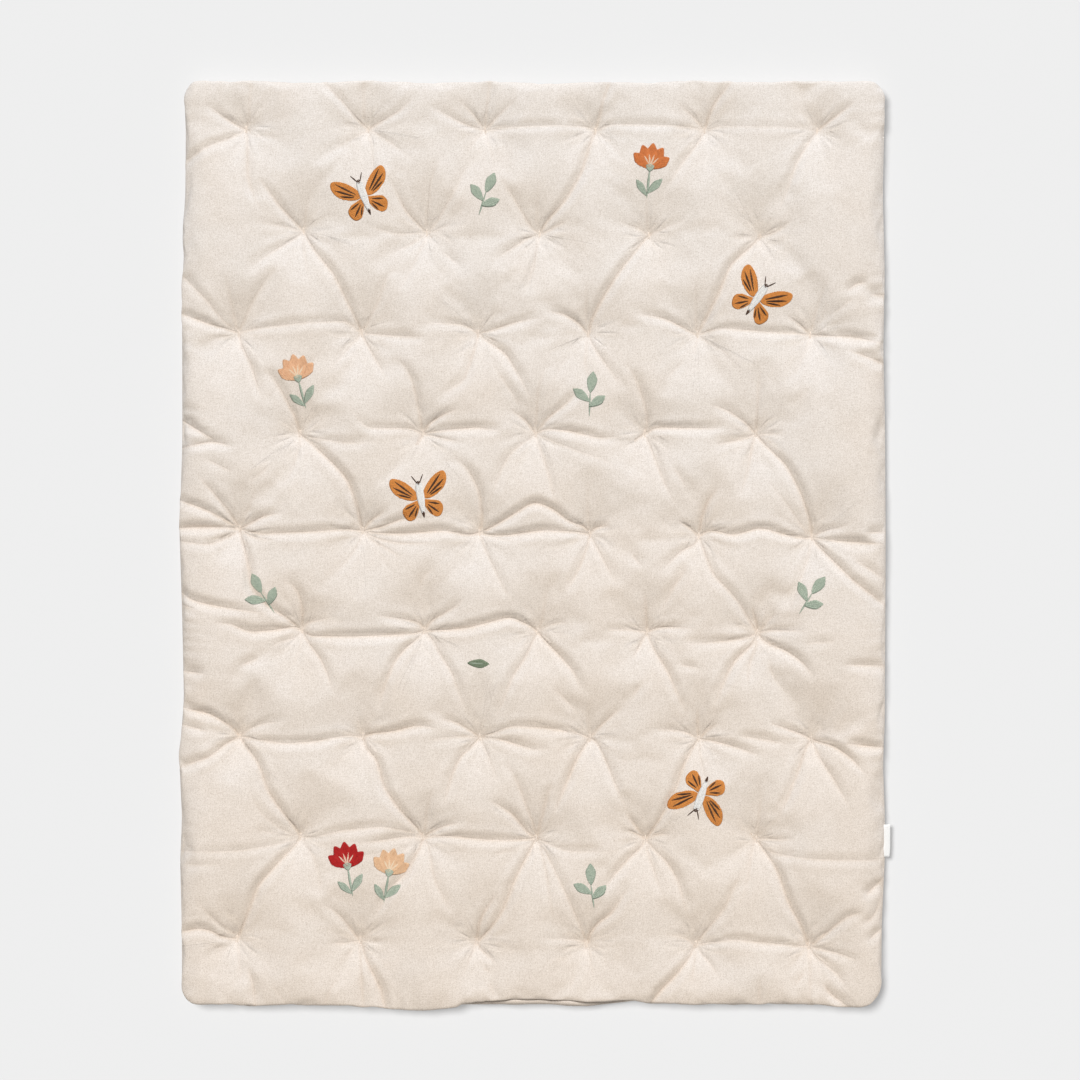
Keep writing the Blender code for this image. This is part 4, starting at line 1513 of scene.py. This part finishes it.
def thread_uv(obj, along, around):
    """The thread's own map from each corner's place along the thread (m) and round it (turns)."""
    layer = obj.data.uv_layers.new(name="thread")
    for face in obj.data.polygons:
        most = max(around[index] for index in face.vertices)
        for loop, index in zip(face.loop_indices, face.vertices):
            next_turn = most - around[index] > 0.5
            layer.uv[loop].vector = (along[index], around[index] + next_turn)


def one_stitch():
    """A stitch along Y at the origin, extruded ring by ring over its arch."""
    places = [Vector((0, y * MM, z * MM)) for y, z in STITCH_ARCH]
    bpy.ops.object.select_all(action="DESELECT")
    bpy.ops.mesh.primitive_circle_add(
        vertices=6, radius=THREAD / 2, fill_type="NGON", location=places[0], rotation=(pi / 2, 0, 0))
    bpy.ops.object.transform_apply(location=True, rotation=True)
    bpy.ops.object.mode_set(mode="EDIT")
    bpy.ops.mesh.select_all(action="SELECT")
    for here, there in zip(places, places[1:]):
        bpy.ops.mesh.extrude_region_move(TRANSFORM_OT_translate={"value": there - here})
    bpy.ops.mesh.select_all(action="SELECT")
    bpy.ops.mesh.normals_make_consistent(inside=False)
    bpy.ops.object.mode_set(mode="OBJECT")
    return bpy.context.object


stitch = one_stitch()
arch_along, arch_high = np.array(STITCH_ARCH).T * MM
ys = [vert.co.y for vert in stitch.data.vertices]
turns = [
    atan2(vert.co.x, vert.co.z - np.interp(vert.co.y, arch_along, arch_high))
    for vert in stitch.data.vertices]
thread_uv(stitch, ys, [turn / (2 * pi) % 1 for turn in turns])
print("one stitch:", len(stitch.data.polygons), "faces")

# %% [markdown]
# Three stitches, a little apart and not quite parallel, make a bar. The bar is copied to every tack,
# each copy turned and stretched a little, and laid on the cloth under it.

# %% Thread tacks
BAR_STITCHES = (
    # across, turn in degrees, length share
    (-0.62, 5, 0.92),
    (0.0, -4, 1.0),
    (0.60, 2, 0.88),
)
TACK_LIGHT = (0.92, 0.83, 0.74)
TACK_DARK = (0.82, 0.71, 0.61)

chance = random.Random(11)
copies = []
for tack in tacks:
    turn_all = radians(chance.uniform(-9, 9))
    for across, turn, share in BAR_STITCHES:
        copy = bpy.data.objects.new("thread_tacks", stitch.data.copy())
        bpy.context.scene.collection.objects.link(copy)
        turned = turn_all + radians(turn + chance.uniform(-3, 3))
        share *= chance.uniform(0.9, 1.06)
        lift = chance.uniform(0.0, 0.12) * MM
        for vert in copy.data.vertices:
            out, ahead, z = vert.co.x + across * MM, vert.co.y * share, vert.co.z
            x = out * cos(turned) - ahead * sin(turned) + tack[0]
            y = out * sin(turned) + ahead * cos(turned) + tack[1]
            vert.co = (x, y, z + cloth_height(tack[0], y) + lift)
        copies.append(copy)
bpy.data.objects.remove(stitch)
bpy.ops.object.select_all(action="DESELECT")
for copy in copies:
    copy.select_set(True)
bpy.context.view_layer.objects.active = copies[0]
bpy.ops.object.join()
tack_threads = bpy.context.object
tack_threads.name = tack_threads.data.name = "thread_tacks"
tack_threads.data.shade_smooth()
tack_threads.data.materials.append(thread_material("tack_thread", TACK_LIGHT, TACK_DARK, 0.7))
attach(tack_threads, "root")
print("tack threads:", len(tack_threads.data.polygons), "faces")

# %% [markdown]
# ## Side label
#
# A short piece of white tape is folded in two and its ends are caught in the side seam. It is laid out
# as a flat grid, and each row of it goes to its place on the fold: out from inside the seam, round a
# small bend and back. The fold isn't quite straight, and one end leans. Solidify gives the tape its
# thickness. It carries no text.

# %% Side label
LABEL_THICK = 0.4 * MM
LABEL_TUCK = 2.6 * MM      # how far its ends go into the seam
LABEL_COLUMNS = 14
SEAM_IN = 1.6 * MM         # the rim is drawn in this much beside the label
BEND_RADIUS = 0.62 * MM
LEG_STEPS, BEND_STEPS = 9, 7   # places along each half of the tape and round its bend
LABEL_LEAN = 0.9 * MM      # how far one end of the fold leans back
LABEL_SPREAD = 0.5 * MM    # how much longer the fold is than the sewn ends, at each end
LABEL_DROOP = 0.5 * MM
LABEL_WAVE = 0.25 * MM
TAPE_SPACING = 0.34 * MM   # between two threads of the tape
TAPE_WHITE = (0.97, 0.965, 0.95)
TAPE_SHADE = (0.88, 0.87, 0.85)

label_low, label_high = (Vector(corner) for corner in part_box("side_label"))
seam_x = label_low.x - SEAM_IN
reach = label_high.x - label_low.x - LABEL_THICK / 2 - BEND_RADIUS
lower_half = [
    (-LABEL_TUCK + (reach + LABEL_TUCK) * step / LEG_STEPS, -BEND_RADIUS) for step in range(LEG_STEPS)]
bend = [
    (reach + BEND_RADIUS * cos(turn), BEND_RADIUS * sin(turn))
    for turn in np.linspace(-pi / 2, pi / 2, BEND_STEPS)]
fold_path = lower_half + bend + [(out, -up) for out, up in reversed(lower_half)]
path_steps = [hypot(b[0] - a[0], b[1] - a[1]) for a, b in zip(fold_path, fold_path[1:])]
tape_places = np.append(0, np.cumsum(path_steps))
label_length = label_high.y - label_low.y

bpy.ops.object.select_all(action="DESELECT")
bpy.ops.mesh.primitive_grid_add(
    x_subdivisions=len(fold_path) - 1, y_subdivisions=LABEL_COLUMNS, size=2, location=(0, 0, 0))
label = bpy.context.object
label.name = label.data.name = "side_label_tape"
label.data.uv_layers[0].name = "cut cloth"
for vert in label.data.vertices:
    step = round((vert.co.x + 1) / 2 * (len(fold_path) - 1))
    out, up = fold_path[step]
    side = vert.co.y
    out_share = max(0.0, out / reach)
    lean = -LABEL_LEAN * max(0.0, -side) ** 3 * out_share
    spread = LABEL_SPREAD * side**3 * out_share
    droop = LABEL_WAVE * sin(2.2 * side + 0.6) * out_share - LABEL_DROOP * out_share**2
    vert.co = (
        seam_x + out + lean,
        (label_low.y + label_high.y) / 2 + side * label_length / 2 + spread,
        SEAM_HEIGHT + up * (1 + 0.15 * side) + droop,
    )
for face in label.data.polygons:
    for loop, index in zip(face.loop_indices, face.vertices):
        u, v = label.data.uv_layers[0].uv[loop].vector
        step = round(u * (len(fold_path) - 1))
        label.data.uv_layers[0].uv[loop].vector = (tape_places[step], v * label_length)
solid = label.modifiers.new("thickness", "SOLIDIFY")
solid.thickness = LABEL_THICK
solid.offset = 0
bpy.ops.object.modifier_apply(modifier=solid.name)
label.data.shade_smooth()

white_tape, shader = plain_material("white_tape", TAPE_WHITE, 0.8)
shader.inputs["Sheen Weight"].default_value = 0.1
tree = white_tape.node_tree
tape_place = add_node(tree, "UVMap", uv_map="cut cloth").outputs["UV"]
tape = place_group(tree, woven_cloth, Place=tape_place, Thread_Spacing=TAPE_SPACING)
tree.links.new(color_mix(tree, tape["Tone"], TAPE_SHADE, TAPE_WHITE), shader.inputs["Base Color"])
bump_into(tree, shader, tape["Height"], 0.1 * MM)
label.data.materials.append(white_tape)
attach(label, "root")
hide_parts("side_label")
print("label cut:", [round(size / MM, 1) for size in (label_length, tape_places[-1])], "mm")

# %% [markdown]
# ## Embroidered motifs
#
# Butterflies, fan-shaped flowers and leaf sprigs are scattered over the top. Machine embroidery
# fills each shape with parallel stitches, row beside row, so a shape is drawn as an outline through a
# few points (in millimetres, with up along Y) and then filled with real threads. A slender drop shape
# does for petals, leaves, stems and veins.

# %% Outlines
def rounded(points, steps=5):
    """A closed smooth outline through a few points."""
    corners = np.array(points, float)
    before, after, after2 = (np.roll(corners, shift, axis=0) for shift in (1, -1, -2))
    parts = []
    for t in np.arange(steps) / steps:
        parts.append(
            0.5 * (2 * corners + (after - before) * t
                   + (2 * before - 5 * corners + 4 * after - after2) * t**2
                   + (3 * corners - before - 3 * after + after2) * t**3))
    return np.stack(parts, axis=1).reshape(-1, 2)


def drop(start, end, width, widest=0.6):
    """A slender outline from start to end, like a leaf."""
    start, end = np.array(start, float), np.array(end, float)
    along = end - start
    side = np.array((-along[1], along[0])) / np.hypot(*along) * width / 2
    left = [start + along * widest * 0.45 + side * 0.72, start + along * widest + side,
            start + along * (1 + widest) / 2 + side * 0.66]
    right = [2 * (start + along * ((point - start) @ along) / (along @ along)) - point for point in left]
    return rounded([start, *left, end, *right[::-1]])


def mirrored(outline):
    return outline * (-1, 1)


def heading(start, end):
    return np.degrees(np.arctan2(end[1] - start[1], end[0] - start[0]))


def both_sides(color, outline, slant):
    return [(color, outline, slant), (color, mirrored(outline), 180 - slant)]


def larger(layers, factor):
    return [(color, outline * factor, slant) for color, outline, slant in layers]


# %% [markdown]
# A motif is a list of layers, sewn one over the other: for each its thread, its outline and the
# direction of its stitches. The two halves of a butterfly are mirror images.

# %% Motifs
FLOWER_SIZE = 1.15
SPRIG_SIZE = 1.15


def butterfly(wing="amber", vein="brown"):
    """Layers of (thread, outline, stitch direction), from the bottom up."""
    upper = rounded([(2, 3), (7, 13), (17, 23), (28, 27), (31, 20), (27, 10), (18, 3), (8, 0)])
    lower = rounded([(2, -1), (10, -2), (19, -5), (22, -12), (18, -20), (11, -20), (5, -12)])
    layers = both_sides(wing, upper, 35) + both_sides(wing, lower, -40)
    veins = (
        ((7, 5), (25, 24), 2.2), ((9, 4), (28, 18), 2.2), ((10, 3), (25, 10), 1.9),
        ((7, -4), (19, -8), 1.9), ((6, -6), (17, -17), 2.0), ((5, -8), (10, -18), 1.6))
    for start, end, width in veins:
        layers += both_sides(vein, drop(start, end, width), heading(start, end) + 70)
    layers += both_sides(vein, drop((0.8, 17), (7, 28), 1.2, 0.5), 150)
    body = [(0, 20), (3.2, 17), (4.2, 8), (3.6, -4), (0, -19), (-3.6, -4), (-4.2, 8), (-3.2, 17)]
    layers.append(("white", rounded(body), 0))
    layers.append((vein, rounded([(0, 20.5), (2.6, 18), (0, 15.4), (-2.6, 18)]), 0))
    layers.append((vein, rounded([(0, -20), (1.6, -14.5), (0, -13), (-1.6, -14.5)]), 0))
    return layers


def flower(petal, heart="cream"):
    layers = [
        ("sage", drop((1, -27), (0, 4), 2.4, 0.5), 10),
        ("sage", drop((0.5, -22), (13, -7), 7), 10),
        ("sage", drop((0.3, -24), (-11, -11), 6.4), 170)]
    for turn in (62, -62, 31, -31, 0):
        tip = (20 * sin(radians(turn)) * 0.95, 3 + 22 * cos(radians(turn)))
        layers.append((petal, drop((0, 1), tip, 10.5, 0.64), heading((0, 1), tip) + 12))
    for turn in (40, -40, 14, -14):
        tip = (11 * sin(radians(turn)), 3 + 12 * cos(radians(turn)))
        layers.append((heart, drop((0, 3.5), tip, 2.1, 0.5), heading((0, 1), tip) + 60))
    layers.append(("sage", rounded([(-4, 3.5), (0, 5.5), (4, 3.5), (1.6, -1), (-1.6, -1)]), 0))
    return larger(layers, FLOWER_SIZE)


def sprig(leaf="sage"):
    layers = [(leaf, drop((0, -17), (1, 9), 1.7, 0.5), 20)]
    leaves = (((1, 6), (4, 26), 9.5), ((0, -2), (-15, 10), 8.5), ((0, -7), (15, 3), 8.5))
    for start, end, width in leaves:
        layers.append((leaf, drop(start, end, width), heading(start, end) + 40))
    return larger(layers, SPRIG_SIZE)


def single_leaf(leaf="moss"):
    return [
        (leaf, drop((-11, -2), (12, 3), 9.5), 50),
        ("sage", drop((-9, -1.5), (8, 2), 1.2, 0.4), 70)]


print("shapes in a butterfly:", len(butterfly()), "in a flower:", len(flower("red")))

# %% [markdown]
# The motifs are spread loosely over the mat, and each is turned a little its own way.

# %% Places of the motifs
MOTIFS = (
    # shape, place from the middle of the mat (mm), turn (degrees)
    (butterfly(), (-182, 372), 20),
    (butterfly(), (240, 262), -35),
    (butterfly(), (-121, 47), 10),
    (butterfly(), (181, -270), 160),
    (flower("terracotta"), (125, 402), -8),
    (flower("peach"), (-253, 175), 12),
    (flower("red"), (-200, -350), 8),
    (flower("light_peach"), (-156, -357), -12),
    (sprig(), (-54, 371), -15),
    (sprig(), (-290, -60), 35),
    (sprig(), (60, 155), 0),
    (sprig(), (295, -60), -30),
    (sprig(), (62, -375), 10),
    (single_leaf(), (-60, -130), -15),
)
print(len(MOTIFS), "motifs,", sum(len(layers) for layers, _, _ in MOTIFS), "filled shapes")

# %% [markdown]
# ## Stitches
#
# Each outline is filled by lines a little closer together than the thread is wide, so the cloth under
# it is covered. A line that is too long for one stitch is split, and the splits are staggered from row
# to row, as a machine does it so that they don't line up.

# %% Filling a shape
ROW_SPACING = 0.56 * MM
LONGEST = 6.5 * MM
SHORTEST = 0.5 * MM
STAGGER = 0.382            # how far the splits move from row to row, as a share of a stitch
NO_SPLIT = 1.2 * MM        # a line isn't split this close to its ends


def fill_lines(outline, slant):
    """Start and end of each stitch that fills an outline, in the outline's own frame."""
    turn = radians(slant)
    ahead, side = np.array((cos(turn), sin(turn))), np.array((-sin(turn), cos(turn)))
    along, across = outline @ ahead, outline @ side
    stitches = []
    for number in range(int(across.min() / ROW_SPACING), int(across.max() / ROW_SPACING) + 1):
        level = (number + 0.5) * ROW_SPACING
        before, after = across - level, np.roll(across, -1) - level
        cut = np.flatnonzero((before < 0) != (after < 0))
        share = before[cut] / (before[cut] - after[cut])
        ends = np.sort(along[cut] + share * (np.roll(along, -1)[cut] - along[cut]))
        for low, high in zip(ends[::2], ends[1::2]):
            if high - low < SHORTEST:
                continue
            stagger = (number * STAGGER % 1) * LONGEST
            first = np.ceil((low - stagger) / LONGEST) * LONGEST + stagger
            marks = [
                mark for mark in np.arange(first, high, LONGEST)
                if low + NO_SPLIT < mark < high - NO_SPLIT]
            for start, end in zip([low, *marks], [*marks, high]):
                stitches.append((ahead * start + side * level, ahead * end + side * level))
    return stitches


# %% [markdown]
# A stitch is a low ridge with four sides, laid over the cloth so that its two edges touch it all
# along, with its bottom sunk in. Each layer of a motif lies a little higher than the one before.

# %% One stitch of embroidery
STITCH_WIDTH = 0.80 * MM
STITCH_HIGH = 0.30 * MM
STITCH_DEEP = 0.16 * MM
STEP_ALONG = 1.8 * MM      # between two places where a stitch meets the cloth
FIRST_RISE = 0.08 * MM
LAYER_RISE = 0.16 * MM


def lay_stitch(start, end, rise, chance):
    """Corner places, faces and thread map of one stitch laid on the cloth."""
    count = max(2, round(np.hypot(*(end - start)) / STEP_ALONG))
    shares = np.linspace(0, 1, count + 1)
    side = np.array((start[1] - end[1], end[0] - start[0])) / np.hypot(*(end - start)) * STITCH_WIDTH / 2
    offset = chance.uniform(0, 3)
    corners, along = [], []
    for share in shares:
        at = start + (end - start) * share
        arch = (4 * share * (1 - share)) ** 0.4
        left, level, right = (cloth_height(*place) + rise for place in (at - side, at, at + side))
        top = max(level, (left + right) / 2) + STITCH_HIGH * (arch * 1.15 - 0.15)
        corners += [(*(at - side), left), (*at, top), (*(at + side), right), (*at, level - STITCH_DEEP)]
        along += [offset + share * np.hypot(*(end - start))] * 4
    faces = [(3, 2, 1, 0)]
    for ring in range(count):
        for corner in range(4):
            here, there = 4 * ring + corner, 4 * ring + (corner + 1) % 4
            faces.append((here, there, there + 4, here + 4))
    faces.append(tuple(4 * count + corner for corner in range(4)))
    return corners, faces, along


# %% [markdown]
# There are thousands of stitches, so they are written as one mesh for each colour of thread.

# %% Embroidery
THREAD_ROUGHNESS = 0.55


def embroider():
    """Corners, faces and thread map of all stitches of each colour."""
    sewn = {}
    chance = random.Random(23)
    for layers, place, turn in MOTIFS:
        turned = radians(turn)
        frame_turn = np.array(((cos(turned), sin(turned)), (-sin(turned), cos(turned))))
        for number, (color, outline, slant) in enumerate(layers):
            rise = FIRST_RISE + LAYER_RISE * sqrt(number)
            corners, faces, along = sewn.setdefault(color, ([], [], []))
            for start, end in fill_lines(outline * MM, slant):
                ends = [point @ frame_turn + np.array(place) * MM + middle for point in (start, end)]
                new_corners, new_faces, new_along = lay_stitch(*ends, rise, chance)
                faces += [tuple(index + len(corners) for index in face) for face in new_faces]
                corners += new_corners
                along += new_along
    return sewn


THREADS = {
    # light and dark tone of each thread
    "amber": ((0.85, 0.355, 0.084), (0.60, 0.230, 0.054)),
    "brown": ((0.115, 0.055, 0.030), (0.070, 0.032, 0.018)),
    "white": ((0.95, 0.935, 0.91), (0.82, 0.79, 0.74)),
    "cream": ((0.93, 0.80, 0.63), (0.84, 0.69, 0.51)),
    "terracotta": ((0.82, 0.275, 0.080), (0.60, 0.175, 0.052)),
    "peach": ((0.95, 0.61, 0.380), (0.78, 0.43, 0.24)),
    "light_peach": ((0.93, 0.65, 0.42), (0.76, 0.46, 0.26)),
    "red": ((0.60, 0.020, 0.018), (0.40, 0.011, 0.011)),
    "sage": ((0.560, 0.620, 0.510), (0.350, 0.430, 0.335)),
    "moss": ((0.275, 0.330, 0.225), (0.175, 0.230, 0.145)),
}
for color, (corners, faces, along) in embroider().items():
    mesh = bpy.data.meshes.new("embroidery_" + color)
    mesh.from_pydata(corners, [], faces)
    piece = bpy.data.objects.new(mesh.name, mesh)
    bpy.context.scene.collection.objects.link(piece)
    thread_uv(piece, along, [index % 4 / 4 for index in range(len(corners))])
    mesh.shade_smooth()
    mesh.materials.append(thread_material(color + "_thread", *THREADS[color], THREAD_ROUGHNESS))
    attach(piece, "root")
    print(piece.name, len(faces), "faces")
